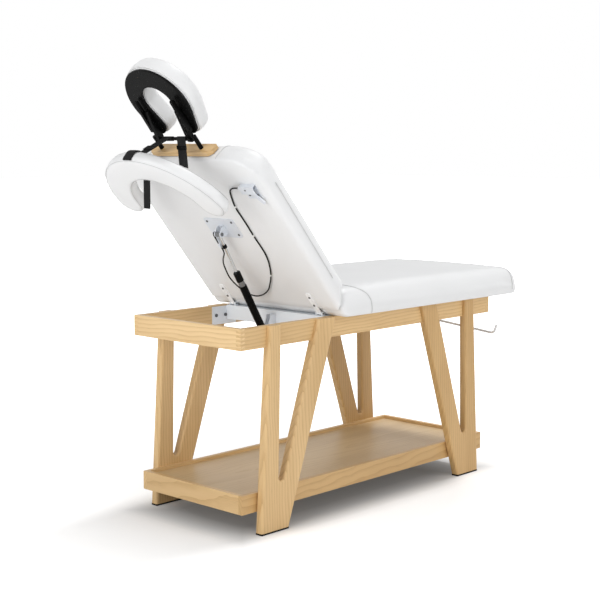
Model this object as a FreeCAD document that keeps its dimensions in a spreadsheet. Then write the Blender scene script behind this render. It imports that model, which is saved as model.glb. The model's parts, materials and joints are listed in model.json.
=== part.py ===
import FreeCAD, Part
import math
import os

from FreeCAD import Placement, Rotation, Vector

# A treatment table: a timber frame with V-shaped legs and a tray shelf, a fixed padded seat,
# a padded backrest raised by a lockable gas spring, a face cradle and a hanging arm sling.
# +X runs to the foot end, +Y to the far side, +Z up, and the floor is Z = 0. Sizes are in mm.

doc = FreeCAD.newDocument("treatment_table")
sheet = doc.addObject("Spreadsheet::Sheet", "sizes")

SIZES = {
    # frame of rails
    "origin_shift": 55.44,
    "rail_length": 1440.0,
    "rail_span": 560.0,
    "rail_top": 735.0,
    "rail_height": 75.0,
    "rail_thickness": 22.0,
    "finger_count": 10.0,
    # legs
    "leg_thickness": 34.0,
    "leg_proud": 17.0,
    "leg_round": 9.0,
    "pad_height": 7.0,
    "pad_inset": 2.0,
    "foot_outer": 638.0,
    "foot_inner": 499.0,
    "post_top_outer": 593.0,
    "post_top_width": 57.0,
    "brace_top_outer": 344.0,
    "brace_top_width": 94.0,
    "notch_height": 172.0,
    "notch_reach": 552.0,
    "notch_round": 14.0,
    # tray shelf
    "shelf_length": 1402.0,
    "shelf_rim_top": 149.0,
    "shelf_rim_height": 68.0,
    "shelf_rim_thickness": 18.0,
    "shelf_panel_thickness": 10.0,
    "shelf_panel_drop": 12.0,
    # upholstery
    "pad_width": 700.0,
    "seat_start": -274.0,
    "seat_end": 868.0,
    "seat_thickness": 110.0,
    "seat_hinge_under_round": 48.0,
    "back_length": 715.0,
    "back_thickness": 100.0,
    "pad_crown": 6.0,
    "pad_top_round": 50.0,
    "pad_under_round": 12.0,
    "seat_foot_round": 80.0,
    "back_head_round": 44.0,
    "back_under_round": 26.0,
    "hinge_corner_round": 24.0,
    "seat_corner_round": 66.0,
    "back_corner_round": 126.0,
    "seat_hinge_top_round": 45.0,
    "back_lip": 54.0,
    "back_hinge_top_round": 16.0,
    "head_under_round": 9.0,
    "crease_gap": 5.0,
    "board_thickness": 15.0,
    "board_inset": 45.0,
    "board_lip_gap": 8.0,
    # hinge
    "back_tilt": 50.0,
    "hinge_x": -265.0,
    "hinge_height": 743.0,
    "hinge_setback": 24.5,
    "hinge_drop": 1.0,
    "hinge_spread": 228.0,
    "hinge_pin_radius": 3.0,
    "knuckle_radius": 5.5,
    "running_gap": 0.05,
    "strap_length": 79.0,
    "strap_width": 24.0,
    "strap_gauge": 3.0,
    "ear_gauge": 4.0,
    "ear_radius": 6.8,
    "side_gap": 0.5,
    # cross channel under the hinge
    "channel_depth": 50.0,
    "channel_height": 55.0,
    "channel_gauge": 3.0,
    "channel_front": -277.0,
    "end_plate_length": 126.0,
    "end_plate_height": 70.0,
    "end_plate_gauge": 3.0,
    "bolt_radius": 4.0,
    "bolt_head_radius": 6.5,
    "bolt_head_height": 4.0,
    "bolt_pitch": 48.0,
    "bolt_length": 18.0,
    # gas spring
    "lower_pivot_x": -316.0,
    "lower_pivot_height": 638.0,
    "upper_pivot_reach": 385.0,
    "upper_pivot_drop": 32.0,
    "pivot_radius": 4.0,
    "spring_arm_gauge": 4.0,
    "spring_arm_width": 28.0,
    "lug_gauge": 10.0,
    "lug_radius": 11.0,
    "arm_side_gap": 4.0,
    "open_pivot_gap": 0.3,
    "rod_radius": 5.0,
    "rod_eye_radius": 9.0,
    "rod_eye_width": 20.0,
    "rod_seat": 6.0,
    "rod_reach": 232.0,
    "ring_start": 46.0,
    "ring_length": 14.0,
    "ring_radius": 8.5,
    "cap_start": 165.0,
    "cap_length": 40.0,
    "cap_radius": 13.5,
    "tube_overlap": 12.0,
    "tube_radius": 12.0,
    "bore_radius": 10.5,
    "band_length": 22.0,
    "sleeve_radius": 14.5,
    "tube_end_gap": 27.0,
    "sleeve_end_gap": 33.0,
    "piston_length": 12.0,
    "piston_gap": 0.3,
    # spring mount on the backrest
    "mount_ahead": 4.0,
    "mount_length": 90.0,
    "mount_width": 156.0,
    "mount_gauge": 3.0,
    "mount_corner": 13.0,
    "mount_screw_inset": 15.0,
    "clevis_gap": 24.0,
    "clevis_gauge": 3.0,
    "clevis_radius": 11.0,
    "clevis_foot": 36.0,
    "screw_head_radius": 4.6,
    "screw_head_height": 2.2,
    "screw_radius": 2.2,
    "screw_length": 13.0,
    # release gear
    "rocker_gauge": 5.0,
    "rocker_length": 34.0,
    "rocker_width": 15.0,
    "cable_radius": 2.6,
    "ferrule_radius": 4.2,
    "ferrule_length": 16.0,
    "tab_length": 49.0,
    "tab_radius": 7.0,
    "loop_one_reach": 241.0,
    "loop_one_side": 82.0,
    "loop_one_drop": 32.0,
    "loop_two_reach": 132.0,
    "loop_two_side": 118.0,
    "loop_two_drop": 25.0,
    "loop_low_reach": 36.0,
    "loop_low_side": 72.0,
    "loop_low_drop": 13.0,
    "loop_turn_reach": 66.0,
    "loop_turn_side": 26.0,
    "loop_turn_drop": 9.0,
    "loop_head_ahead": 2.0,
    "loop_head_inset": 108.0,
    "cable_lead": 24.0,
    "clip_low_reach": 161.0,
    "clip_low_side": 101.0,
    "cable_bow_side": 143.0,
    "clip_mid_reach": 361.0,
    "clip_mid_side": 137.0,
    "clip_high_back": 74.0,
    "clip_high_side": 134.0,
    "clip_width": 8.0,
    "clip_wall": 1.2,
    "clip_foot": 9.0,
    "lever_head_inset": 143.0,
    "lever_edge_inset": 82.0,
    "lever_plate_length": 64.0,
    "lever_plate_width": 66.0,
    "lever_plate_gauge": 2.5,
    "lever_box_height": 20.0,
    "lever_box_depth": 31.0,
    "lever_gauge": 4.0,
    "lever_drop": 8.5,
    "lever_arm": 74.0,
    "lever_blade_width": 15.0,
    "lever_angle": 36.0,
    "lever_pin_ahead": 20.0,
    "lever_pin_inset": 6.0,
    # head board and face cradle
    "head_board_length": 314.0,
    "head_board_width": 45.0,
    "head_board_gauge": 18.0,
    "head_board_rise": 10.0,
    "head_board_chamfer": 16.0,
    "post_spread": 102.0,
    "post_radius": 8.0,
    "post_rise": 32.0,
    "post_length": 150.0,
    "post_depth": 76.0,
    "socket_wall": 3.0,
    "socket_depth": 92.0,
    "bar_out": 60.0,
    "bar_radius": 6.0,
    "cradle_out": 197.0,
    "cradle_half_sweep": 108.0,
    "cradle_outer": 150.0,
    "cradle_band": 88.0,
    "cradle_limb": 65.0,
    "cradle_cushion_height": 74.0,
    "cradle_cushion_round": 26.0,
    "cradle_frame_gauge": 9.0,
    "cradle_frame_inset": 9.0,
    "cradle_frame_band": 72.0,
    "cradle_rise": 50.0,
    "soft_gap": 0.3,
    "arm_side": 78.0,
    "arm_gauge": 14.0,
    "arm_radius": 12.0,
    "arm_length": 112.0,
    "cam_out": 97.0,
    "cam_side": 93.0,
    "cam_gauge": 12.0,
    "cam_length": 116.0,
    "cam_radius": 10.0,
    "cam_tip_radius": 7.0,
    "cam_pin_radius": 4.0,
    "cam_rise": 37.0,
    # arm sling
    "sling_outer": 269.0,
    "sling_band": 112.0,
    "sling_thickness": 55.0,
    "sling_round": 24.0,
    "sling_half_sweep": 84.0,
    "sling_lean": 39.4,
    "sling_forward": 18.5,
    "sling_hang": 244.0,
    "sling_strap_width": 32.0,
    "sling_strap_gauge": 2.0,
    "sling_strap_side": 34.0,
    "sling_strap_sweep": 47.0,
    "sling_strap_inset": 29.0,
    "sling_strap_sink": 11.0,
    "sling_belt_sweep": 1.5,
    "sling_belt_low": 4.0,
    "sling_tail": 96.0,
    "buckle_gauge": 3.0,
    "buckle_height": 22.0,
    # paper-roll rod
    "roll_rod_radius": 5.0,
    "roll_rod_reach": 60.0,
    "roll_rod_height": 597.0,
    "roll_rod_start": 80.0,
    "roll_rod_end": 268.0,
    "roll_rod_droop": 34.0,
    "roll_rod_hook": 36.0,
    "roll_rod_flare": 13.0,
    "roll_plate_width": 46.0,
    "roll_plate_height": 60.0,
    "roll_plate_gauge": 4.0,
    # shared
    "overrun": 2.0,
}

for row, (alias, amount) in enumerate(SIZES.items(), start=1):
    sheet.set(f"A{row}", alias)
    sheet.set(f"B{row}", str(amount))
    sheet.setAlias(f"B{row}", alias)
doc.recompute()


class Sizes:
    """Reads a size back from the sheet by its alias."""

    def __getattr__(self, alias):
        return float(sheet.get(alias))


size = Sizes()
AXIS_X = Vector(1, 0, 0)
AXIS_Y = Vector(0, 1, 0)
AXIS_Z = Vector(0, 0, 1)
HALF_TURN = 180
QUARTER_TURN = 90
sub_parts = []


def cell(alias):
    """The sheet's name for a size, for use in an expression."""
    return f"sizes.{alias}"


def shifted(x=0, y=0, z=0, axis=AXIS_Z, angle=0):
    """A placement in the table's frame, turned about one axis."""
    return Placement(Vector(x + size.origin_shift, y, z), Rotation(axis, angle))


# The panel frame lies on the hinge axis with the backrest flat: -X to the head, Z off the padding.
panel = shifted(size.hinge_x, 0, size.hinge_height, AXIS_Y, size.back_tilt)
under = -size.hinge_drop


def on_panel(reach, side=0, rise=0):
    """A point of the panel frame: reach from the backrest's lower edge, rise from its underside."""
    return Vector(-size.hinge_setback - reach, side, under + rise)


def keep(obj, placement=None):
    """Lists an object as a sub-part and puts it in its place."""
    if placement is not None:
        obj.Placement = placement
    sub_parts.append(obj)
    return obj


def feature(label, shape, placement=None):
    """A sub-part whose shape is worked out from the sheet in this script."""
    obj = doc.addObject("Part::Feature", label)
    obj.Shape = shape
    base = placement if placement is not None else shifted()
    return keep(obj, base.multiply(shape.Placement))


def block(label, lengths, corner):
    """A box whose three lengths and near corner are expressions on the sheet."""
    obj = doc.addObject("Part::Box", label)
    for prop, expression in zip(("Length", "Width", "Height"), lengths):
        obj.setExpression(prop, expression)
    for prop, expression in zip("xyz", corner):
        obj.setExpression(f"Placement.Base.{prop}", expression)
    return keep(obj)


def polygon(points):
    """Straight sketch edges through the points and back to the first."""
    return [Part.LineSegment(a, b) for a, b in zip(points, points[1:] + points[:1])]


def padded_body(label, role, edges, depth, placement):
    """A body with one sketch on an origin plane, padded both ways by an expression."""
    body = doc.addObject("PartDesign::Body", label)
    plane = next(p for p in body.Origin.OriginFeatures if p.Role == role)
    sketch = body.newObject("Sketcher::SketchObject", f"{label}_outline")
    sketch.AttachmentSupport = [(plane, "")]
    sketch.MapMode = "FlatFace"
    sketch.addGeometry(edges, False)
    pad = body.newObject("PartDesign::Pad", f"{label}_pad")
    pad.Profile = sketch
    pad.Midplane = True
    pad.setExpression("Length", depth)
    doc.recompute()
    return keep(body, placement)


def cylinder(radius, length, start, axis):
    """A plain round solid."""
    return Part.makeCylinder(radius, length, start, axis)


def slab(points, thickness):
    """A plate with a straight-edged outline, thickened along a vector."""
    return Part.Face(Part.makePolygon(points + points[:1])).extrude(thickness)


def rounded_plate(length, width, gauge, radius):
    """A plate in XY, centred, with round corners, standing on Z = 0."""
    plate = Part.makeBox(length, width, gauge, Vector(-length / 2, -width / 2, 0))
    uprights = [e for e in plate.Edges if abs(e.tangentAt(e.FirstParameter).z) > 0.5]
    return plate.makeFillet(radius, uprights)


def link_plate(a, b, radius_a, radius_b, gauge, side):
    """A flat link in XZ with a round end at each point, from side to side + gauge in Y."""
    start = Vector(a.x, side, a.z)
    end = Vector(b.x, side, b.z)
    along = (end - start).normalize()
    across = Vector(-along.z, 0, along.x)
    web = slab(
        [
            start + across * radius_a,
            end + across * radius_b,
            end - across * radius_b,
            start - across * radius_a,
        ],
        AXIS_Y * gauge,
    )
    ends = [cylinder(radius_a, gauge, start, AXIS_Y), cylinder(radius_b, gauge, end, AXIS_Y)]
    return web.multiFuse(ends).removeSplitter()


def cord_tube(points, radius):
    """A tube along straight runs joined by tangent arcs, and each arc's middle and heading."""
    run_share = 0.45
    edges = []
    here = points[0]
    radii = []
    bends = []
    for before, corner, after in zip(points, points[1:], points[2:]):
        back = (before - corner).normalize()
        ahead = (after - corner).normalize()
        turn = math.pi - back.getAngle(ahead)
        trim = run_share * min((before - corner).Length, (after - corner).Length)
        bend = trim / math.tan(turn / 2)
        radii.append(bend)
        middle = corner + (back + ahead).normalize() * (math.hypot(bend, trim) - bend)
        edges.append(Part.LineSegment(here, corner + back * trim).toShape())
        edges.append(Part.Arc(corner + back * trim, middle, corner + ahead * trim).toShape())
        here = corner + ahead * trim
        bends.append((middle, (ahead - back).normalize()))
    edges.append(Part.LineSegment(here, points[-1]).toShape())
    path = Part.Wire(edges)
    ring = Part.Wire(Part.Circle(points[0], points[1] - points[0], radius).toShape())
    tube = path.makePipeShell([ring], True, False)
    print("cord radii", [round(r, 1) for r in radii], "length", round(path.Length, 1))
    print("cord volume share", tube.Volume / (math.pi * radius**2 * path.Length))
    return tube, bends


# Rails: a finger-jointed box of four boards.
rail_half_length = size.rail_length / 2
rail_half_span = size.rail_span / 2
rail_under = size.rail_top - size.rail_height
rail_inner = rail_half_span - size.rail_thickness
finger_count = int(size.finger_count)
finger_height = size.rail_height / finger_count


def finger_outline(full, proud_turn):
    """A board's outline with fingers at both ends, in its sketch plane."""
    side = []
    for turn in range(finger_count):
        reach = full if turn % 2 == proud_turn else full - size.rail_thickness
        side.append(Vector(reach, turn * finger_height, 0))
        side.append(Vector(reach, (turn + 1) * finger_height, 0))
    mirrored = [Vector(-p.x, p.y, 0) for p in reversed(side)]
    return polygon(side + mirrored)


def end_plate_left():
    """Where the spring channel's end plates begin along X."""
    return size.channel_front + size.channel_depth - size.end_plate_length


def bolt_places():
    """X of the two bolts of an end plate."""
    edge_share = 0.16
    first = end_plate_left() + size.end_plate_length * edge_share
    return [first, first + size.bolt_pitch]


bolt_height = rail_under + size.rail_height / 2

for label, side in (("near_rail", -1), ("far_rail", 1)):
    middle = side * (rail_half_span - size.rail_thickness / 2)
    rail = padded_body(
        label,
        "XZ_Plane",
        finger_outline(rail_half_length, 0),
        cell("rail_thickness"),
        shifted(0, middle, rail_under),
    )
    holes = rail.newObject("Sketcher::SketchObject", f"{label}_bolt_circles")
    plane = next(p for p in rail.Origin.OriginFeatures if p.Role == "XZ_Plane")
    holes.AttachmentSupport = [(plane, "")]
    holes.MapMode = "FlatFace"
    holes.AttachmentOffset = Placement(Vector(0, 0, side * size.rail_thickness / 2), Rotation())
    for x in bolt_places():
        holes.addGeometry(Part.Circle(Vector(x, size.rail_height / 2, 0), AXIS_Z, size.bolt_radius), False)
    pocket = rail.newObject("PartDesign::Pocket", f"{label}_bolt_holes")
    pocket.Profile = holes
    pocket.Midplane = True
    depth = f"2 * ({cell('bolt_length')} - {cell('end_plate_gauge')})"
    pocket.setExpression("Length", depth)
    doc.recompute()

for label, end in (("head_rail", -1), ("foot_rail", 1)):
    middle = end * (rail_half_length - size.rail_thickness / 2)
    padded_body(
        label,
        "YZ_Plane",
        finger_outline(rail_half_span, 1),
        cell("rail_thickness"),
        shifted(middle, 0, rail_under),
    )


# Legs: one board each, a post and a brace that part at a rounded notch, half lapped onto the rail.
def leg_outline(end):
    """A leg's outline in its sketch plane, for the head end or the foot end."""
    top = size.rail_top
    post = Vector(size.post_top_outer - size.post_top_width, top, 0)
    brace = Vector(size.brace_top_outer, top, 0)
    low = Vector(size.notch_reach, size.notch_height, 0)
    half = (post - low).getAngle(brace - low) / 2
    low.y -= size.notch_round / math.sin(half) - size.notch_round
    to_post = (post - low).normalize()
    to_brace = (brace - low).normalize()
    half = to_post.getAngle(to_brace) / 2
    trim = size.notch_round / math.tan(half)
    bottom = low + (to_post + to_brace).normalize() * (size.notch_round / math.sin(half) - size.notch_round)
    corners = [
        low + to_brace * trim,
        brace,
        Vector(size.brace_top_outer - size.brace_top_width, top, 0),
        Vector(size.foot_inner, size.pad_height, 0),
        Vector(size.foot_outer, size.pad_height, 0),
        Vector(size.post_top_outer, top, 0),
        post,
        low + to_post * trim,
    ]
    flip = lambda p: Vector(end * p.x, p.y, 0)
    edges = [Part.LineSegment(flip(a), flip(b)) for a, b in zip(corners, corners[1:])]
    edges.append(Part.Arc(flip(corners[-1]), flip(bottom), flip(corners[0])))
    return edges


leg_middle = rail_half_span + size.leg_proud - size.leg_thickness / 2
for label, side, end in (
    ("near_head_leg", -1, -1),
    ("far_head_leg", 1, -1),
    ("near_foot_leg", -1, 1),
    ("far_foot_leg", 1, 1),
):
    place = shifted(0, side * leg_middle)
    leg = padded_body(label, "XZ_Plane", leg_outline(end), cell("leg_thickness"), place)
    lap = leg.newObject("Sketcher::SketchObject", f"{label}_lap_outline")
    plane = next(p for p in leg.Origin.OriginFeatures if p.Role == "YZ_Plane")
    lap.AttachmentSupport = [(plane, "")]
    lap.MapMode = "FlatFace"
    lap_face = side * (size.leg_thickness / 2 - size.leg_proud)
    beyond = -side * size.leg_thickness
    lap.addGeometry(
        polygon(
            [
                Vector(lap_face, rail_under, 0),
                Vector(beyond, rail_under, 0),
                Vector(beyond, size.rail_top + size.overrun, 0),
                Vector(lap_face, size.rail_top + size.overrun, 0),
            ]
        ),
        False,
    )
    pocket = leg.newObject("PartDesign::Pocket", f"{label}_lap")
    pocket.Profile = lap
    pocket.Midplane = True
    pocket.setExpression("Length", f"2 * {cell('rail_length')}")
    doc.recompute()
    long_edges = []
    for number, edge in enumerate(leg.Shape.Edges, start=1):
        start = edge.valueAt(edge.FirstParameter) - leg.Placement.Base
        stop = edge.valueAt(edge.LastParameter) - leg.Placement.Base
        level = abs(start.y - stop.y) < size.side_gap
        on_face = level and abs(abs(start.y) - size.leg_thickness / 2) < size.side_gap
        if on_face and (abs(start.z - stop.z) > size.rail_height or edge.Curve.TypeId == "Part::GeomCircle"):
            long_edges.append(f"Edge{number}")
    rounding = leg.newObject("PartDesign::Fillet", f"{label}_rounding")
    rounding.Base = (pocket, long_edges)
    rounding.setExpression("Radius", cell("leg_round"))
    doc.recompute()

foot_length = size.foot_outer - size.foot_inner - 2 * size.pad_inset
foot_width = size.leg_thickness - 2 * size.pad_inset
feet = []
for side in (-1, 1):
    for end in (-1, 1):
        foot_corner = Vector(-foot_length / 2, -foot_width / 2, 0)
        pad = Part.makeBox(foot_length, foot_width, size.pad_height, foot_corner)
        pad.translate(Vector(end * (size.foot_outer + size.foot_inner) / 2, side * leg_middle, 0))
        feet.append(pad)
feature("foot_pads", Part.makeCompound(feet))

# Tray shelf: a panel let in between four rims, held between the legs.
shelf_half_width = f"({cell('rail_span')} / 2 + {cell('leg_proud')} - {cell('leg_thickness')})"
shelf_left = f"{cell('origin_shift')} - {cell('shelf_length')} / 2"
rim_bottom = f"{cell('shelf_rim_top')} - {cell('shelf_rim_height')}"
rim = cell("shelf_rim_thickness")
block(
    "shelf_near_rim",
    (cell("shelf_length"), rim, cell("shelf_rim_height")),
    (shelf_left, f"-{shelf_half_width}", rim_bottom),
)
block(
    "shelf_far_rim",
    (cell("shelf_length"), rim, cell("shelf_rim_height")),
    (shelf_left, f"{shelf_half_width} - {rim}", rim_bottom),
)
block(
    "shelf_head_rim",
    (rim, f"2 * {shelf_half_width} - 2 * {rim}", cell("shelf_rim_height")),
    (shelf_left, f"-{shelf_half_width} + {rim}", rim_bottom),
)
block(
    "shelf_foot_rim",
    (rim, f"2 * {shelf_half_width} - 2 * {rim}", cell("shelf_rim_height")),
    (f"{shelf_left} + {cell('shelf_length')} - {rim}", f"-{shelf_half_width} + {rim}", rim_bottom),
)
block(
    "shelf_panel",
    (
        f"{cell('shelf_length')} - 2 * {rim}",
        f"2 * {shelf_half_width} - 2 * {rim}",
        cell("shelf_panel_thickness"),
    ),
    (
        f"{shelf_left} + {rim}",
        f"-{shelf_half_width} + {rim}",
        f"{cell('shelf_rim_top')} - {cell('shelf_panel_drop')} - {cell('shelf_panel_thickness')}",
    ),
)


# Upholstery: side profiles of lines and arcs, drawn in toward both sides and lofted across the width.
STATION_SHARES = (0.0, 0.05, 0.2, 0.5, 1.0)


def drawn_in(radius, distance):
    """How far a rounded edge has fallen back at a distance from the side."""
    if distance >= radius:
        return 0.0
    return radius - math.sqrt(radius**2 - (radius - distance) ** 2)


def cushion(spot, length, height, side_under, rounds, corners, lip=0.0, lip_rise=0.0):
    """A crowned pad. Spot turns length, side and height into a point of the part's frame.

    Side under is the radius along both lower sides. Rounds are the hinge end's under and top radii
    and the free end's; corners are the plan radii.
    """
    half = size.pad_width / 2
    fit_share = 0.92
    diagonal_share = 1 - math.sqrt(0.5)
    distances = [share * max(corners) for share in STATION_SHARES]
    middle_share = 0.6
    distances.append(max(corners) + middle_share * (half - max(corners)))
    sides = [(-1, s) for s in distances] + [(0, half)] + [(1, s) for s in reversed(distances)]
    wires = []
    for sign, distance in sides:
        y = sign * (half - distance)
        low = drawn_in(side_under, distance)
        lateral = 1 - (abs(y) / half) ** 2
        top = height - drawn_in(size.pad_top_round, distance) + size.pad_crown * lateral
        first = drawn_in(corners[0], distance)
        last = length - drawn_in(corners[1], distance)
        fit = min(1, fit_share * (top - low) / max(rounds[0] + rounds[1], rounds[2] + rounds[3]))
        under0, top0, under1, top1 = (r * fit for r in rounds)
        at = lambda p, q: spot(p, y, q)
        start = at(first - lip, low) if lip else at(first + under0, low)
        rise = lip_rise if lip else under0
        mid = (first + last) / 2
        short1 = diagonal_share * under1
        short2 = diagonal_share * top1
        short3 = diagonal_share * top0
        short4 = diagonal_share * under0
        edges = [
            Part.LineSegment(start, at(last - under1, low)),
            Part.Arc(at(last - under1, low), at(last - short1, low + short1), at(last, low + under1)),
            Part.LineSegment(at(last, low + under1), at(last, top - top1)),
            Part.Arc(at(last, top - top1), at(last - short2, top - short2), at(last - top1, top)),
            Part.Arc(at(last - top1, top), at(mid, top + size.pad_crown / 2), at(first + top0, top)),
            Part.Arc(at(first + top0, top), at(first + short3, top - short3), at(first, top - top0)),
            Part.LineSegment(at(first, top - top0), at(first, low + rise)),
        ]
        if lip:
            edges.append(Part.LineSegment(at(first, low + rise), start))
        else:
            edges.append(Part.Arc(at(first, low + rise), at(first + short4, low + short4), start))
        wires.append(Part.Wire([e.toShape() for e in edges]))
    return Part.makeLoft(wires, True, True)


seat_length = size.seat_end - size.seat_start
seat = cushion(
    lambda p, y, q: Vector(size.seat_start + p, y, size.rail_top + q),
    seat_length,
    size.seat_thickness,
    size.pad_under_round,
    (size.seat_hinge_under_round, size.seat_hinge_top_round, size.pad_under_round, size.seat_foot_round),
    (size.hinge_corner_round, size.seat_corner_round),
)
board_half = size.pad_width / 2 - size.board_inset
seat_board_length = seat_length - size.seat_hinge_under_round - size.board_inset
seat_board = Part.makeBox(
    seat_board_length,
    2 * board_half,
    size.board_thickness,
    Vector(size.seat_start + size.seat_hinge_under_round, -board_half, size.rail_top),
)
feature("seat_board", seat_board)
feature("seat_cushion", seat.cut(seat_board))

# Hinge between seat and backrest: ears on the channel, pins, and straps on the backrest.
hinge_point = Vector(size.hinge_x, 0, size.hinge_height)
ears = []
pins = []
ear_step = size.strap_width / 2 + size.side_gap
pin_reach = ear_step + size.ear_gauge + size.overrun
for side in (-1, 1):
    centre = side * size.hinge_spread
    pin = cylinder(size.hinge_pin_radius, 2 * pin_reach, hinge_point + AXIS_Y * (centre - pin_reach), AXIS_Y)
    pins.append(pin)
    for step in (-1, 1):
        inner = centre + step * ear_step
        base = min(inner, inner + step * size.ear_gauge)
        ear_start = Vector(size.hinge_x, base, size.hinge_height)
        round_end = cylinder(size.ear_radius, size.ear_gauge, ear_start, AXIS_Y)
        foot = Part.makeBox(
            2 * size.ear_radius,
            size.ear_gauge,
            size.hinge_height - size.rail_top,
            Vector(size.hinge_x - size.ear_radius, base, size.rail_top),
        )
        ears.append(round_end.fuse(foot).removeSplitter().cut(pin))
feature("hinge_ears", Part.makeCompound(ears))
feature("hinge_pins", Part.makeCompound(pins))

# Cross channel, its end plates and bolts, and the two arms that hold the spring's lower end.
front = size.channel_front
gauge = size.channel_gauge
back = front + size.channel_depth
low = -size.channel_height
channel_outline = polygon(
    [
        Vector(front, 0, 0),
        Vector(back, 0, 0),
        Vector(back, -gauge, 0),
        Vector(front + gauge, -gauge, 0),
        Vector(front + gauge, low + gauge, 0),
        Vector(back, low + gauge, 0),
        Vector(back, low, 0),
        Vector(front, low, 0),
    ]
)
padded_body(
    "cross_channel",
    "XZ_Plane",
    channel_outline,
    f"{cell('rail_span')} - 2 * {cell('rail_thickness')} - 2 * {cell('end_plate_gauge')}",
    shifted(0, 0, size.rail_top),
)
bolts = []
plates = []
for side in (-1, 1):
    outer = side * rail_inner
    plate = Part.makeBox(
        size.end_plate_length,
        size.end_plate_gauge,
        size.end_plate_height,
        Vector(end_plate_left(), min(outer, outer - side * size.end_plate_gauge), rail_under + size.overrun),
    )
    for x in bolt_places():
        face = Vector(x, outer - side * size.end_plate_gauge, bolt_height)
        shank = cylinder(size.bolt_radius, size.bolt_length, face, AXIS_Y * side)
        head = cylinder(size.bolt_head_radius, size.bolt_head_height, face, AXIS_Y * -side)
        head = head.makeChamfer(size.bolt_head_height / 4, [head.Edges[0]])
        plate = plate.cut(shank)
        bolts.append(shank.fuse(head))
    plates.append(plate)
feature("channel_end_plates", Part.makeCompound(plates))
feature("channel_bolts", Part.makeCompound(bolts))

lower_pivot = Vector(size.lower_pivot_x, 0, size.lower_pivot_height)
arm_inner = size.lug_gauge / 2 + size.arm_side_gap
arm_root = Vector(front - size.spring_arm_width / 2, 0, size.rail_top - size.channel_height / 2)
arm_half = size.spring_arm_width / 2
arms = []
for side in (-1, 1):
    near_face = min(side * arm_inner, side * (arm_inner + size.spring_arm_gauge))
    arm = link_plate(lower_pivot, arm_root, arm_half, arm_half, size.spring_arm_gauge, near_face)
    toe = Part.makeBox(
        size.spring_arm_width,
        size.spring_arm_gauge,
        size.spring_arm_width,
        Vector(front - size.spring_arm_width, near_face, arm_root.z - arm_half),
    )
    stub_start = size.lug_gauge / 2 + size.open_pivot_gap
    stub_length = arm_inner + size.spring_arm_gauge + size.overrun - stub_start
    stub = cylinder(size.pivot_radius, stub_length, lower_pivot + AXIS_Y * (side * stub_start), AXIS_Y * side)
    arms.append(arm.multiFuse([toe, stub]).removeSplitter())
feature("spring_arms", Part.makeCompound(arms))

# Backrest: board, cushion with a bevelled lower lip that meets the seat when raised, and hinge straps.
tilt = math.radians(size.back_tilt)
crease = size.seat_start - size.crease_gap - size.hinge_x
lip_start = (crease - under * math.sin(tilt)) / math.cos(tilt)
back_first = lip_start - size.back_lip
back_last = -size.hinge_setback - size.back_length
backrest = cushion(
    lambda p, y, q: Vector(back_first - p, y, under + q),
    back_first - back_last,
    size.back_thickness,
    size.back_under_round,
    (size.pad_under_round, size.back_hinge_top_round, size.head_under_round, size.back_head_round),
    (size.hinge_corner_round, size.back_corner_round),
    size.back_lip,
    size.back_lip / math.tan(tilt),
)
back_board_start = back_last + size.board_inset
board_front = lip_start - size.board_lip_gap
board_top = under + size.board_thickness
back_board = slab(
    [
        Vector(back_board_start, -board_half, under),
        Vector(board_front, -board_half, under),
        Vector(board_front - size.board_thickness * math.tan(tilt), -board_half, board_top),
        Vector(back_board_start, -board_half, board_top),
    ],
    AXIS_Y * (2 * board_half),
)
board_plan = rounded_plate(
    2 * (board_front - back_board_start),
    2 * board_half,
    size.board_thickness,
    size.back_corner_round - size.board_inset,
)
board_plan.translate(Vector(board_front, 0, under))
back_board = back_board.common(board_plan)
back_board_blank = back_board.copy()
screws = []


def screw_at(point, drop):
    """A pan-head screw driven up into the backrest's board through a plate of the given thickness."""
    face = point - AXIS_Z * drop
    shank = cylinder(size.screw_radius, size.screw_length, face, AXIS_Z)
    head = cylinder(size.screw_head_radius, size.screw_head_height, face, -AXIS_Z)
    screws.append(shank.fuse(head.makeChamfer(size.screw_head_height / 3, [head.Edges[0]])))
    return shank


screw_shares = (0.25, 0.75)
for label, side in (("near_hinge_strap", -1), ("far_hinge_strap", 1)):
    centre = side * size.hinge_spread
    left = -size.hinge_setback - size.strap_length
    leaf = Part.makeBox(
        -left,
        size.strap_width,
        size.strap_gauge,
        Vector(left, centre - size.strap_width / 2, under - size.strap_gauge),
    )
    uprights = [e for e in leaf.Edges if abs(e.tangentAt(0).z) > 0.5 and e.CenterOfMass.x < left / 2]
    leaf = leaf.makeFillet(size.strap_width / 3, uprights)
    start = Vector(0, centre - size.strap_width / 2, 0)
    knuckle = cylinder(size.knuckle_radius, size.strap_width, start, AXIS_Y)
    bore = cylinder(size.hinge_pin_radius + size.running_gap, size.strap_width, start, AXIS_Y)
    strap = leaf.fuse(knuckle).removeSplitter().cut(bore)
    for share in screw_shares:
        strap = strap.cut(screw_at(on_panel(size.strap_length * share, centre), size.strap_gauge))
    feature(label, strap, panel)

# Spring mount: a rounded plate, a folded clevis on it and the clevis pin.
mount_middle = on_panel(size.upper_pivot_reach + size.mount_ahead)
plate = rounded_plate(size.mount_length, size.mount_width, size.mount_gauge, size.mount_corner)
plate.translate(mount_middle - AXIS_Z * size.mount_gauge)
for along in (-1, 1):
    for side in (-1, 1):
        spot = mount_middle + Vector(
            along * (size.mount_length / 2 - size.mount_screw_inset),
            side * (size.mount_width / 2 - size.mount_screw_inset),
            0,
        )
        plate = plate.cut(screw_at(spot, size.mount_gauge))
feature("spring_mount_plate", plate, panel)

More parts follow.
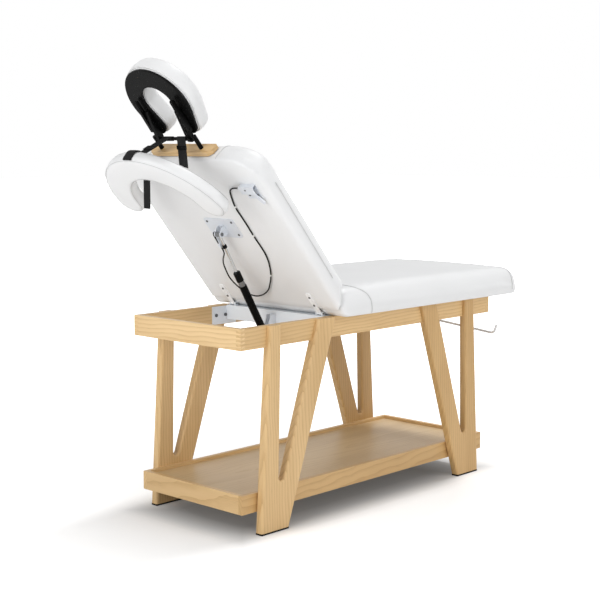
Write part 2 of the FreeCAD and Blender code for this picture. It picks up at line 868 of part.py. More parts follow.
upper_pivot = on_panel(size.upper_pivot_reach, 0, -size.upper_pivot_drop)
clevis_inner = size.clevis_gap / 2
clevis_outer = clevis_inner + size.clevis_gauge
clevis_top = under - size.mount_gauge
clevis = Part.makeBox(
    size.clevis_foot,
    2 * clevis_outer,
    size.clevis_gauge,
    Vector(upper_pivot.x - size.clevis_foot / 2, -clevis_outer, clevis_top - size.clevis_gauge),
)
for side in (-clevis_outer, clevis_inner):
    root = Vector(upper_pivot.x, 0, clevis_top - size.clevis_radius)
    ear = link_plate(upper_pivot, root, size.clevis_radius, size.clevis_foot / 2, size.clevis_gauge, side)
    over = Part.makeBox(
        size.mount_length,
        size.mount_width,
        size.mount_length,
        Vector(upper_pivot.x - size.mount_length / 2, -size.mount_width / 2, clevis_top),
    )
    clevis = clevis.fuse(ear).cut(over)
pin_end = clevis_outer + size.rocker_gauge + 2 * size.overrun
pin_shaft = cylinder(size.pivot_radius, clevis_outer + pin_end, upper_pivot - AXIS_Y * clevis_outer, AXIS_Y)
head_start = upper_pivot - AXIS_Y * (clevis_outer + size.overrun)
pin_head = cylinder(size.bolt_head_radius, size.overrun, head_start, AXIS_Y)
feature("clevis_pin", pin_shaft.fuse(pin_head), panel)

# Release lever on the backrest: a folded box, a sprung blade on a pin, and the rocker at the clevis.
lever_reach = size.back_length - size.lever_head_inset
lever_side = size.pad_width / 2 - size.lever_edge_inset
box_head = on_panel(lever_reach + size.lever_plate_length / 2).x
lever_base = Part.makeBox(
    size.lever_plate_length,
    size.lever_plate_width,
    size.lever_plate_gauge,
    Vector(box_head, -lever_side - size.lever_plate_width / 2, under - size.lever_plate_gauge),
)
lever_wall = Part.makeBox(
    size.lever_plate_gauge,
    size.lever_plate_width,
    size.lever_box_height,
    Vector(box_head, -lever_side - size.lever_plate_width / 2, under - size.lever_box_height),
)
lever_lid = Part.makeBox(
    size.lever_box_depth,
    size.lever_plate_width,
    size.lever_plate_gauge,
    Vector(box_head, -lever_side - size.lever_plate_width / 2, under - size.lever_box_height),
)
lever_pivot = on_panel(
    lever_reach + size.lever_pin_ahead,
    size.lever_pin_inset - lever_side,
    -size.lever_box_height - size.overrun,
)
lever_pin = cylinder(size.hinge_pin_radius, size.lever_box_height + size.overrun, lever_pivot, AXIS_Z)
lever_case = lever_base.multiFuse([lever_wall, lever_lid]).removeSplitter().cut(lever_pin)
lever_screw_shares = (-0.3, 0.3)
for share in lever_screw_shares:
    spot = on_panel(
        lever_reach - size.lever_plate_length / 4,
        -lever_side + size.lever_plate_width * share,
    )
    lever_case = lever_case.cut(screw_at(spot, size.lever_plate_gauge))
feature("lever_pin", lever_pin, panel)
blade_top = under - size.lever_drop
blade_root = Vector(lever_pivot.x, lever_pivot.y, blade_top - size.lever_gauge)
heading = math.radians(size.lever_angle)
blade_tip = blade_root + Vector(math.cos(heading), -math.sin(heading), 0) * size.lever_arm
across = Vector(math.sin(heading), math.cos(heading), 0) * (size.lever_blade_width / 2)
blade = slab(
    [blade_root + across, blade_tip + across, blade_tip - across, blade_root - across],
    AXIS_Z * size.lever_gauge,
)
for centre in (blade_root, blade_tip):
    blade = blade.fuse(cylinder(size.lever_blade_width / 2, size.lever_gauge, centre, AXIS_Z))
lever_bore = cylinder(size.hinge_pin_radius + size.running_gap, size.lever_gauge, blade_root, AXIS_Z)
feature("release_lever", blade.removeSplitter().cut(lever_bore), panel)

strut_start = panel.multVec(upper_pivot)
strut_end = lower_pivot + AXIS_X * size.origin_shift
strut_line = strut_end - strut_start
strut_length = strut_line.Length
strut_angle = math.degrees(math.atan2(-strut_line.z, strut_line.x))
strut = Placement(strut_start, Rotation(AXIS_Y, strut_angle))
rocker_face = clevis_outer + size.side_gap
rocker_tip = Vector(size.rocker_length, 0, 0)
rocker = link_plate(
    Vector(), rocker_tip, size.clevis_radius, size.rocker_width / 2, size.rocker_gauge, rocker_face
)
rocker_bore = cylinder(size.pivot_radius + size.running_gap, size.rocker_gauge, AXIS_Y * rocker_face, AXIS_Y)
feature("release_rocker", rocker.cut(rocker_bore), strut)

# Cable from a ferrule at the rocker, in a free loop and up through three clips to the lever.
rocker_middle = rocker_face + size.rocker_gauge / 2
local = panel.inverse().multiply(strut)
ferrule_start = local.multVec(rocker_tip + Vector(size.rocker_width / 2 + size.overrun, rocker_middle, 0))
clip_rise = -size.cable_radius - size.clip_wall
clip_high_reach = lever_reach - size.clip_high_back
clips_at = [
    on_panel(size.clip_low_reach, -size.clip_low_side, clip_rise),
    on_panel(size.clip_mid_reach, -size.clip_mid_side, clip_rise),
    on_panel(clip_high_reach, -size.clip_high_side, clip_rise),
]
lever_entry = Vector(
    lever_pivot.x,
    -lever_side + size.lever_plate_width / 2 + size.ferrule_length,
    blade_top - size.lever_gauge / 2,
)
cable_exit = ferrule_start + (local.multVec(AXIS_X) - local.Base) * size.ferrule_length
first_way = (cable_exit - ferrule_start).normalize()
cable_points = [
    cable_exit,
    cable_exit + first_way * size.cable_lead,
    on_panel(size.loop_one_reach, size.loop_one_side, -size.loop_one_drop),
    on_panel(size.loop_two_reach, size.loop_two_side, -size.loop_two_drop),
    on_panel(size.loop_low_reach, size.loop_low_side, -size.loop_low_drop),
    on_panel(size.loop_turn_reach, -size.loop_turn_side, -size.loop_turn_drop),
    clips_at[0],
    on_panel((size.clip_low_reach + size.clip_mid_reach) / 2, -size.cable_bow_side, clip_rise),
    clips_at[1],
    on_panel((size.clip_mid_reach + clip_high_reach) / 2, -size.clip_mid_side - size.overrun, clip_rise),
    clips_at[2],
    on_panel(lever_reach + size.loop_head_ahead, size.loop_head_inset - lever_side, clip_rise),
    lever_entry + AXIS_Y * size.cable_lead,
    lever_entry,
]
cable, cable_bends = cord_tube(cable_points, size.cable_radius)
feature("release_cable", cable, panel)
ferrules = [
    cylinder(size.ferrule_radius, size.ferrule_length, ferrule_start, first_way),
    cylinder(size.ferrule_radius, size.ferrule_length, lever_entry, -AXIS_Y),
]
feature("cable_ferrules", Part.makeCompound(ferrules), panel)

# The ferrules' holders: a tab on the clevis beside the rocker, and a block on the lever's bracket.
tab_tip = AXIS_X * size.tab_length
tab = link_plate(Vector(), tab_tip, size.tab_radius, size.tab_radius, size.clevis_gauge, clevis_inner)
holder_start = size.rocker_length + size.rocker_width / 2 + 2 * size.overrun
holder = Part.makeBox(
    size.tab_length + size.tab_radius - holder_start,
    rocker_middle + size.tab_radius - clevis_outer,
    2 * size.tab_radius,
    Vector(holder_start, clevis_outer, -size.tab_radius),
)
tab = tab.fuse(holder)
tab.Placement = local
clevis = clevis.fuse(tab).removeSplitter().cut(pin_shaft).cut(ferrules[0])
feature("spring_clevis", clevis, panel)
block_width = 2 * size.ferrule_radius + 2 * size.lever_plate_gauge
holder = Part.makeBox(
    block_width,
    size.ferrule_length / 2,
    under - lever_entry.z + block_width / 2,
    Vector(
        lever_entry.x - block_width / 2,
        -lever_side + size.lever_plate_width / 2,
        lever_entry.z - block_width / 2,
    ),
)
feature("lever_bracket", lever_case.fuse(holder).removeSplitter().cut(ferrules[1]), panel)
clips = []
for corner in clips_at:
    here, way = cable_bends[cable_points.index(corner) - 1]
    start = here - way * (size.clip_width / 2)
    hoop = cylinder(size.cable_radius + size.clip_wall, size.clip_width, start, way)
    foot = Part.makeBox(size.clip_width, 2 * size.clip_foot, size.clip_wall)
    foot.translate(Vector(-size.clip_width / 2, -size.clip_foot, 0))
    foot.rotate(Vector(), AXIS_Z, math.degrees(math.atan2(way.y, way.x)))
    foot.translate(Vector(here.x, here.y, under - size.clip_wall))
    bore_start = start - way * size.clip_width
    bore = cylinder(size.cable_radius + size.soft_gap, 3 * size.clip_width, bore_start, way)
    clips.append(hoop.fuse(foot).cut(bore).Solids[0])
feature("cable_clips", Part.makeCompound(clips), panel)

feature("backrest_screws", Part.makeCompound(screws), panel)
for screw in screws:
    back_board = back_board.cut(screw)
feature("backrest_board", back_board, panel)

# Gas spring along its own axis from the clevis pin: rod with eye and ring, then cap, tube, sleeve and lug.
half_eye = size.rod_eye_width / 2


def along(radius, start, end):
    """A round solid on the spring's axis."""
    return cylinder(radius, end - start, AXIS_X * start, AXIS_X)


piston_start = size.rod_reach - size.piston_length
rod = along(size.rod_radius, size.rod_seat, piston_start)
eye = cylinder(size.rod_eye_radius, size.rod_eye_width, -AXIS_Y * half_eye, AXIS_Y)
eye_bore = cylinder(size.pivot_radius + size.running_gap, size.rod_eye_width, -AXIS_Y * half_eye, AXIS_Y)
feature("rod_eye", eye.cut(eye_bore).cut(rod), strut)
piston = along(size.bore_radius - size.piston_gap, piston_start, size.rod_reach)
feature("piston_rod", rod.fuse(piston), strut)
ring_end = size.ring_start + size.ring_length
ring = along(size.ring_radius, size.ring_start, ring_end)
ring = ring.makeChamfer((size.ring_radius - size.rod_radius) / 2, [ring.Edges[0], ring.Edges[2]])
feature("rod_ring", ring.cut(rod), strut)
cap_end = size.cap_start + size.cap_length
tube_start = cap_end - size.tube_overlap
tube_end = strut_length - size.tube_end_gap
tube = along(size.tube_radius, tube_start, tube_end)
tube = tube.cut(along(size.bore_radius, tube_start, tube_end - size.tube_overlap))
feature("spring_tube", tube, strut)
cap = along(size.cap_radius, size.cap_start, cap_end)
cap = cap.makeChamfer(size.cap_radius / 4, [cap.Edges[2]]).cut(along(size.tube_radius, tube_start, cap_end))
feature("spring_cap", cap.cut(along(size.rod_radius + size.running_gap, size.cap_start, cap_end)), strut)
sleeve = along(size.sleeve_radius, cap_end + size.band_length, strut_length - size.sleeve_end_gap)
feature("spring_sleeve", sleeve.cut(along(size.tube_radius, tube_start, tube_end)), strut)
half_lug = size.lug_gauge / 2
lug = Part.makeBox(
    strut_length - tube_end,
    size.lug_gauge,
    2 * size.lug_radius,
    Vector(tube_end, -half_lug, -size.lug_radius),
)
lug_centre = Vector(strut_length, -half_lug, 0)
lug = lug.fuse(cylinder(size.lug_radius, size.lug_gauge, lug_centre, AXIS_Y)).removeSplitter()
lug = lug.cut(cylinder(size.pivot_radius + size.running_gap, size.lug_gauge, lug_centre, AXIS_Y))
feature("spring_lug", lug, strut)

# Head board with two sockets behind it, and the cradle's posts and cross bar.
board = Part.makeBox(
    size.head_board_gauge,
    size.head_board_length,
    size.head_board_width,
    Vector(back_last - size.head_board_gauge, -size.head_board_length / 2, under + size.head_board_rise),
)
lower_ends = [
    e
    for e in board.Edges
    if abs(e.tangentAt(e.FirstParameter).x) > 0.5 and e.CenterOfMass.z < board.CenterOfMass.z
]
board = board.makeChamfer(size.head_board_chamfer, lower_ends)
bar_middle = on_panel(size.back_length + size.bar_out, 0, size.post_rise)
bar = cylinder(size.bar_radius, 2 * size.post_spread, bar_middle - AXIS_Y * size.post_spread, AXIS_Y)
sockets = []
posts = []
for side in (-1, 1):
    foot = on_panel(size.back_length - size.post_depth, side * size.post_spread, size.post_rise)
    deep = on_panel(size.back_length - size.socket_depth, side * size.post_spread, size.post_rise)
    post = cylinder(size.post_radius, size.post_length, foot, -AXIS_X)
    tip = [e for e in post.Edges if abs(e.CenterOfMass.x - (foot.x - size.post_length)) < size.side_gap]
    posts.append(post.makeChamfer(size.post_radius / 4, tip).cut(bar))
    socket_radius = size.post_radius + size.running_gap
    sleeve = cylinder(socket_radius + size.socket_wall, size.socket_depth, deep, -AXIS_X)
    bore = cylinder(socket_radius, size.socket_depth + size.head_board_gauge, deep, -AXIS_X)
    backrest = backrest.cut(sleeve)
    sockets.append(sleeve.cut(bore))
    board = board.cut(bore)
feature("backrest_cushion", backrest.cut(back_board_blank), panel)
feature("head_board", board, panel)
feature("cradle_sockets", Part.makeCompound(sockets), panel)
feature("cradle_posts", Part.makeCompound(posts), panel)
feature("cradle_bar", bar, panel)


def pad_section(half, height, under_round, top_round, crown, middle, lift=0.0):
    """A padded band's section as a face in XZ, centred on -X middle, with a crowned top."""
    short = 1 - math.sqrt(0.5)
    at = lambda across, up: Vector(-middle + across, 0, lift + up)
    edges = [Part.LineSegment(at(under_round - half, 0), at(half - under_round, 0))]
    for side in (1, -1):
        corner_low = [
            at(side * (half - under_round), 0),
            at(side * (half - short * under_round), short * under_round),
            at(side * half, under_round),
        ]
        corner_top = [
            at(side * half, height - top_round),
            at(side * (half - short * top_round), height - short * top_round),
            at(side * (half - top_round), height),
        ]
        edges.append(Part.Arc(*corner_low))
        edges.append(Part.LineSegment(corner_low[2], corner_top[0]))
        edges.append(Part.Arc(*corner_top))
    edges.append(Part.Arc(at(half - top_round, height), at(0, height + crown), at(top_round - half, height)))
    return Part.Face(Part.Wire(Part.__sortEdges__([e.toShape() for e in edges])))


def horseshoe(face, middle, half, height, sweep, limb):
    """A band swept round Z with its apex to -X, straight limbs and round ends."""
    start = face.copy()
    start.rotate(Vector(), AXIS_Z, -sweep)
    body = start.revolve(Vector(), AXIS_Z, 2 * sweep)
    reach = 4 * height
    right = Part.makeBox(half + size.overrun, reach, 2 * reach, Vector(-middle, -reach / 2, -reach))
    half_face = face.common(right).Faces[0]
    pieces = []
    for side in (-1, 1):
        turned = face.copy()
        turned.rotate(Vector(), AXIS_Z, side * sweep)
        way = Rotation(AXIS_Z, side * sweep).multVec(AXIS_Y * side)
        if limb:
            pieces.append(turned.extrude(-way * limb))
        cap = half_face.revolve(Vector(-middle, 0, 0), AXIS_Z, -side * HALF_TURN)
        cap.rotate(Vector(), AXIS_Z, side * sweep)
        cap.translate(-way * limb)
        pieces.append(cap)
    return body.multiFuse(pieces).removeSplitter()


# Face cradle: a horseshoe cushion on a moulded ring, on two arms that turn about the cross bar.
cradle_half = size.cradle_band / 2
cradle_middle = size.cradle_outer - cradle_half
cradle_seat = on_panel(size.back_length + size.cradle_out, 0, size.cradle_rise)
ring_half = size.cradle_frame_band / 2
ring_middle = size.cradle_outer - size.cradle_frame_inset - ring_half
edge_round = size.cradle_frame_gauge / 4
section = pad_section(ring_half, size.cradle_frame_gauge, edge_round, edge_round, edge_round / 4, ring_middle)
cradle_ring = horseshoe(
    section, ring_middle, ring_half, size.cradle_frame_gauge, size.cradle_half_sweep, size.cradle_limb
)
cradle_ring.translate(cradle_seat)
feature("cradle_frame", cradle_ring, panel)
section = pad_section(
    cradle_half,
    size.cradle_cushion_height,
    size.cradle_cushion_round / 2,
    size.cradle_cushion_round,
    size.pad_crown,
    cradle_middle,
)
cradle_pad = horseshoe(
    section, cradle_middle, cradle_half, size.cradle_cushion_height, size.cradle_half_sweep, size.cradle_limb
)
lift = size.cradle_frame_gauge + edge_round / 4 + size.soft_gap
cradle_pad.translate(cradle_seat + AXIS_Z * lift)
feature("cradle_cushion", cradle_pad, panel)

arms = []
levers = []
cam_point = on_panel(size.back_length + size.cam_out, 0, size.cam_rise)
cam_tip = cam_point - AXIS_X * size.cam_length
for side in (-1, 1):
    inner = side * size.arm_side - size.arm_gauge / 2
    hub = cylinder(size.arm_radius, size.arm_gauge, Vector(bar_middle.x, inner, bar_middle.z), AXIS_Y)
    top = under + size.cradle_rise
    web = slab(
        [
            Vector(bar_middle.x, inner, bar_middle.z - size.arm_radius),
            Vector(bar_middle.x - size.arm_length, inner, top - size.arm_radius),
            Vector(bar_middle.x - size.arm_length, inner, top),
            Vector(bar_middle.x - 2 * size.arm_radius, inner, top),
            Vector(bar_middle.x, inner, bar_middle.z + size.arm_radius),
        ],
        AXIS_Y * size.arm_gauge,
    )
    bore = cylinder(
        size.bar_radius + size.running_gap, size.arm_gauge, Vector(bar_middle.x, inner, bar_middle.z), AXIS_Y
    )
    pin_start = cam_point + AXIS_Y * side * size.arm_side
    pin_length = size.cam_side + size.cam_gauge / 2 + size.overrun - size.arm_side
    pin = cylinder(size.cam_pin_radius, pin_length, pin_start, AXIS_Y * side)
    arms.append(hub.multiFuse([web, pin]).removeSplitter().cut(bore))
    lever_face = side * size.cam_side - size.cam_gauge / 2
    lever = link_plate(cam_point, cam_tip, size.cam_radius, size.cam_tip_radius, size.cam_gauge, lever_face)
    eye_start = Vector(cam_point.x, lever_face, cam_point.z)
    eye = cylinder(size.cam_pin_radius + size.running_gap, size.cam_gauge, eye_start, AXIS_Y)
    levers.append(lever.cut(eye))
feature("cradle_arms", Part.makeCompound(arms), panel)
feature("near_cam_lever", levers[0], panel)
feature("far_cam_lever", levers[1], panel)

# Arm sling: a padded crescent hung from the cross bar by two webbing straps with slide buckles.
sling_half = size.sling_band / 2
sling_middle = size.sling_outer - sling_half
section = pad_section(
    sling_half, size.sling_thickness, size.sling_round / 2, size.sling_round, size.pad_crown, sling_middle
)
bar_world = panel.multVec(bar_middle)
sling_base = bar_world - Vector(size.sling_forward, 0, size.sling_hang)
sling = Placement(sling_base, Rotation(AXIS_Y, size.sling_lean))
sling_pad = horseshoe(section, sling_middle, sling_half, size.sling_thickness, size.sling_half_sweep, 0)
feature("arm_sling", sling_pad, sling)


def sling_face(grow):
    """The sling's section grown evenly on all sides."""
    return pad_section(
        sling_half + grow,
        size.sling_thickness + 2 * grow,
        size.sling_round / 2 + grow,
        size.sling_round + grow,
        size.pad_crown,
        sling_middle,
        -grow,
    )


# The belt sewn round the apex, open below, with its loose end hanging through the opening.
wrap_gap = size.soft_gap
wrap_out = wrap_gap + size.sling_strap_gauge
belt_turn = math.degrees(size.sling_strap_width / sling_middle)
belt = sling_face(wrap_out).cut(sling_face(wrap_gap))
belt.rotate(Vector(), AXIS_Z, size.sling_belt_sweep - belt_turn / 2)
belt = belt.revolve(Vector(), AXIS_Z, belt_turn)
belt_low = size.sling_belt_low
belt = belt.common(
    Part.makeBox(
        4 * size.sling_outer,
        4 * size.sling_outer,
        size.sling_outer,
        Vector(-2 * size.sling_outer, -2 * size.sling_outer, belt_low),
    )
)
down = sling.Rotation.inverted().multVec(-AXIS_Z)
belt_way = Rotation(AXIS_Z, size.sling_belt_sweep).multVec(-AXIS_X)
belt_side = Vector(-belt_way.y, belt_way.x, 0) * (size.sling_strap_width / 2)
tail_start = belt_way * (sling_middle - sling_half - wrap_gap - size.sling_strap_gauge / 2)
tail_start.z = belt_low + size.sling_strap_gauge
tail_end = tail_start + down * size.sling_tail
tail_normal = belt_side.cross(down).normalize() * size.sling_strap_gauge
if tail_normal.dot(belt_way) > 0:
    tail_normal = -tail_normal
tail = slab(
    [tail_start - belt_side, tail_end - belt_side, tail_end + belt_side, tail_start + belt_side], tail_normal
)
feature("sling_belt", belt.fuse(tail).removeSplitter(), sling)

# The two side straps, from loops on the bar to the sling's upper face near its rim.
bar_in_sling = sling.inverse().multVec(bar_world)
loop_radius = size.bar_radius + 2 * size.running_gap
bar_point = bar_in_sling - AXIS_Y * size.sling_strap_side
rim_way = Rotation(AXIS_Z, size.sling_strap_sweep).multVec(-AXIS_X)
rim_point = rim_way * (size.sling_outer - size.sling_strap_inset)
rim_point.z = size.sling_thickness - size.sling_strap_sink
run_way = (rim_point - bar_point).normalize()
normal = run_way.cross(AXIS_Y).normalize()
if normal.dot(bar_in_sling - AXIS_Z * bar_in_sling.z) < 0:
    normal = -normal
start = bar_point + normal * loop_radius
run_way = (rim_point - start).normalize()
normal = run_way.cross(run_way.cross(normal)).normalize() * -1
slant_share = math.sqrt(1 - run_way.y**2)
half_width = AXIS_Y * (size.sling_strap_width / 2 / slant_share)
run = slab(
    [start - half_width, start + half_width, rim_point + half_width, rim_point - half_width],
    normal * size.sling_strap_gauge,
)
skin_turn = 2 * belt_turn
skin = sling_face(wrap_gap)
skin.rotate(Vector(), AXIS_Z, size.sling_strap_sweep - skin_turn)
skin = skin.revolve(Vector(), AXIS_Z, 2 * skin_turn)
run = run.cut(skin)
loop_start = bar_point - half_width
loop_width = 2 * half_width.Length
loop = cylinder(loop_radius + size.sling_strap_gauge, loop_width, loop_start, AXIS_Y)
strap = loop.fuse(run).cut(cylinder(loop_radius, loop_width, loop_start, AXIS_Y)).removeSplitter()
strap = max(strap.Solids, key=lambda solid: solid.Volume)
feature("near_sling_strap", strap, sling)
feature("far_sling_strap", strap.mirror(Vector(), AXIS_Y), sling)
slide_share = 0.34
frame_share = 1.16
slot_places_share = (-0.45, 0.45)
slot_half_share = 0.25
centre = start + (rim_point - start) * slide_share
centre = centre + normal * size.sling_strap_gauge
long_way = run_way * (size.buckle_height / 2)
wide_way = half_width * frame_share
plate = slab(
    [
        centre - long_way - wide_way,
        centre - long_way + wide_way,
        centre + long_way + wide_way,
        centre + long_way - wide_way,
    ],
    normal * size.buckle_gauge,
)
for place in slot_places_share:
    low = centre + long_way * (place - slot_half_share)
    high = centre + long_way * (place + slot_half_share)
    outline = [low - half_width, low + half_width, high + half_width, high - half_width]
    plate = plate.cut(slab(outline, normal * size.buckle_gauge))
buckles = [plate, plate.mirror(Vector(), AXIS_Y)]
feature("strap_buckles", Part.makeCompound(buckles), sling)

# Paper-roll rod below the foot end, on a plate on the foot rail.
plate_out = rail_half_length + size.roll_plate_gauge
plate_height = rail_under + size.rail_height / 2
roll_plate = rounded_plate(size.roll_plate_height, size.roll_plate_width, size.roll_plate_gauge, size.overrun)
roll_plate.rotate(Vector(), AXIS_Y, QUARTER_TURN)
roll_plate.translate(Vector(rail_half_length, size.roll_rod_start, plate_height))
feature("roll_plate", roll_plate)
out = rail_half_length + size.roll_rod_reach
rod_low = size.roll_rod_height - size.roll_rod_droop
rod_points = [
    Vector(plate_out, size.roll_rod_start, plate_height),
    Vector(out, size.roll_rod_start, plate_height),
    Vector(out, size.roll_rod_start, size.roll_rod_height),
    Vector(out, -size.roll_rod_end, rod_low),
    Vector(out, -size.roll_rod_end - size.roll_rod_flare, rod_low + size.roll_rod_hook),
]
roll_rod, _ = cord_tube(rod_points, size.roll_rod_radius)
feature("roll_rod", roll_rod)

doc.recompute()
for obj in doc.Objects:
    if "Invalid" in obj.State or "Error" in obj.State:
        raise RuntimeError(f"{obj.Label} did not build: {obj.State}")
os.makedirs("parts", exist_ok=True)
whole = FreeCAD.BoundBox()
for obj in sub_parts:
    shape = obj.Shape
    if shape.isNull() or not shape.isValid() or shape.Volume <= 0:
        raise RuntimeError(f"{obj.Label} has no valid solid")
    whole.add(shape.BoundBox)
    shape.exportStep(f"parts/{obj.Label}.step")
print("sub-parts", len(sub_parts))
print("box", [round(v, 2) for v in (whole.XMin, whole.XMax, whole.YMin, whole.YMax, whole.ZMin, whole.ZMax)])
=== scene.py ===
"""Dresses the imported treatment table: finishes, upholstery, webbing, stitching, light and camera."""

from __future__ import annotations

import json
import logging
import math
from dataclasses import dataclass, field, replace
from enum import Enum
from typing import Callable, Sequence

import bmesh
import bpy
from mathutils import Matrix, Vector
from mathutils.bvhtree import BVHTree
from mathutils.kdtree import KDTree

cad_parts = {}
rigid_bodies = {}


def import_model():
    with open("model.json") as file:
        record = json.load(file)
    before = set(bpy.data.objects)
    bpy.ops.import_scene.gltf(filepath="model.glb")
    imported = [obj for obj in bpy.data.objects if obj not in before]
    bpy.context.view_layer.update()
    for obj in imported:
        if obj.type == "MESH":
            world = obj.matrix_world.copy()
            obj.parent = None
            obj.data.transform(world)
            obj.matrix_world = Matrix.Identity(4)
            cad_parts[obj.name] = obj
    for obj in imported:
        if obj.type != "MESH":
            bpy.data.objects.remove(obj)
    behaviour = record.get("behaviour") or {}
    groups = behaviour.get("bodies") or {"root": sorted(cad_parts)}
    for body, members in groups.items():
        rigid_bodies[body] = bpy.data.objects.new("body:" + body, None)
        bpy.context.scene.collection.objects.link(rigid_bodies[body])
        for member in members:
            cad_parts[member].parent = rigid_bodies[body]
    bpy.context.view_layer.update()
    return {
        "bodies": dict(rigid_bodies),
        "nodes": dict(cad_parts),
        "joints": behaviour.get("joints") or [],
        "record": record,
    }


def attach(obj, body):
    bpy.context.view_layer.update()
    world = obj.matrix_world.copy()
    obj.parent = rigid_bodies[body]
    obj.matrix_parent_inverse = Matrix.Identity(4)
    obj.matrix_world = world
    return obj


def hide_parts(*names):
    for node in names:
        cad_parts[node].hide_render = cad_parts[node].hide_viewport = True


log = logging.getLogger("treatment_table")

MM = 0.001
ORIGIN_SHIFT = 55.44
SEAT_START = -274.0
SEAT_END = 868.0
RAIL_TOP = 735.0
HINGE = Vector((-265.0 + ORIGIN_SHIFT, 0.0, 743.0)) * MM
TILT = math.radians(50.0)

Colour = tuple[float, float, float]
Point = tuple[float, float, float]


class Grain(Enum):
    """The way a board's grain runs in the row frame."""

    LENGTHWISE = "lengthwise"
    CROSSWISE = "crosswise"
    UPRIGHT = "upright"


class PaintedLightTone(Enum):
    """How pale a board is coloured beside its neighbours: painted light for a board on a lit face, painted
    shade for one in shade.
    """

    LIGHT = 1.10
    MIDDLE = 1.0
    DARK = 0.87

    def tint(self, colour: Colour) -> Colour:
        """A timber colour at this tone, darker boards being warmer."""
        return (colour[0] * self.value, colour[1] * self.value**1.4, colour[2] * self.value**2.2)


class Slot(Enum):
    """The record's material slots."""

    TIMBER = "pale_timber"
    PLY = "plywood"
    VINYL = "white_vinyl"
    RUBBER = "black_rubber"
    WHITE_ENAMEL = "white_enamel"
    ZINC = "zinc_plate"
    STEEL = "bright_steel"
    CHROME = "chrome_rod"
    PLASTIC = "black_plastic"
    BLACK_ENAMEL = "black_enamel"
    WHITE_PLASTIC = "white_plastic"
    WEBBING = "black_webbing"


@dataclass
class Graph:
    """A thin hand on a node tree: adds nodes, sets their sockets and links them."""

    tree: bpy.types.NodeTree

    def add(self, kind: str, **values: object) -> bpy.types.Node:
        """Adds a node.

        Args:
            kind: Blender's node type name.
            values: attributes, set as they are named.

        Returns:
            The new node.
        """
        node = self.tree.nodes.new(kind)
        for name, value in values.items():
            setattr(node, name, value)
        return node

    def feed(self, node: bpy.types.Node, socket: str | int, source: object) -> None:
        """Links or sets one input.

        Args:
            node: the node to feed.
            socket: the input's name or index.
            source: an output socket to link, or a plain value to set.
        """
        if isinstance(source, bpy.types.NodeSocket):
            self.tree.links.new(source, node.inputs[socket])
        else:
            node.inputs[socket].default_value = source

    def math(self, operation: str, a: object, b: object = 0.0, clamp: bool = False) -> bpy.types.NodeSocket:
        """Adds a math node and returns its output.

        Args:
            operation: the sum to do.
            a: a socket or a number.
            b: a socket or a number.
            clamp: whether the result stays between 0 and 1.

        Returns:
            The result.
        """
        node = self.add("ShaderNodeMath", operation=operation, use_clamp=clamp)
        self.feed(node, 0, a)
        self.feed(node, 1, b)
        return node.outputs[0]

    def span(
        self, value: object, low: float, high: float, to_low: float, to_high: float
    ) -> bpy.types.NodeSocket:
        """Maps a value from one range to another, clamped, and returns the output.

        Args:
            value: the socket to map.
            low: its lowest value.
            high: its highest value.
            to_low: what the lowest becomes.
            to_high: what the highest becomes.

        Returns:
            The mapped value.
        """
        node = self.add("ShaderNodeMapRange", clamp=True)
        for name, source in (
            ("Value", value),
            ("From Min", low),
            ("From Max", high),
            ("To Min", to_low),
            ("To Max", to_high),
        ):
            self.feed(node, name, source)
        return node.outputs[0]

    def mix(self, share: object, a: object, b: object) -> bpy.types.NodeSocket:
        """Mixes two colours and returns the output.

        Args:
            share: how much of the second colour shows.
            a: the first colour.
            b: the second colour.

        Returns:
            The mixed colour.
        """
        node = self.add("ShaderNodeMix", data_type="RGBA")
        self.feed(node, 0, share)
        self.feed(node, 6, a)
        self.feed(node, 7, b)
        return node.outputs[2]

    def noise(
        self, vector: object, scale: float, detail: float = 3.0, rough: float = 0.55
    ) -> bpy.types.NodeSocket:
        """Adds a noise texture and returns its value.

        Args:
            vector: where it is read.
            scale: how fine it is.
            detail: how many layers it has.
            rough: how strong the finer layers are.

        Returns:
            The value, from 0 to 1.
        """
        node = self.add("ShaderNodeTexNoise")
        self.feed(node, "Vector", vector)
        self.feed(node, "Scale", scale)
        self.feed(node, "Detail", detail)
        self.feed(node, "Roughness", rough)
        return node.outputs["Fac"]

    def place(
        self, vector: object, scale: Sequence[float], turn: Sequence[float] = (0, 0, 0)
    ) -> bpy.types.NodeSocket:
        """Scales and turns texture coordinates and returns them.

        Args:
            vector: the coordinates.
            scale: their scale on each axis.
            turn: their turn about each axis.

        Returns:
            The new coordinates.
        """
        node = self.add("ShaderNodeMapping")
        self.feed(node, "Vector", vector)
        self.feed(node, "Scale", tuple(scale))
        self.feed(node, "Rotation", tuple(turn))
        return node.outputs[0]


def rgba(colour: Colour) -> tuple[float, float, float, float]:
    """A colour with full alpha."""
    return (*colour, 1.0)


def start_group(
    name: str, inputs: Sequence[tuple[str, str, object]], outputs: Sequence[tuple[str, str]]
) -> tuple[Graph, bpy.types.Node, bpy.types.Node]:
    """Starts a shader node group.

    Args:
        name: the group's name.
        inputs: name, socket type and default of each input.
        outputs: name and socket type of each output.

    Returns:
        The group's graph, its input node and its output node.
    """
    tree = bpy.data.node_groups.new(name, "ShaderNodeTree")
    for label, kind, default in inputs:
        socket = tree.interface.new_socket(label, in_out="INPUT", socket_type=kind)
        if default is not None:
            socket.default_value = default
    for label, kind in outputs:
        tree.interface.new_socket(label, in_out="OUTPUT", socket_type=kind)
    graph = Graph(tree)
    return graph, graph.add("NodeGroupInput"), graph.add("NodeGroupOutput")


FLOAT = "NodeSocketFloat"
VECTOR = "NodeSocketVector"


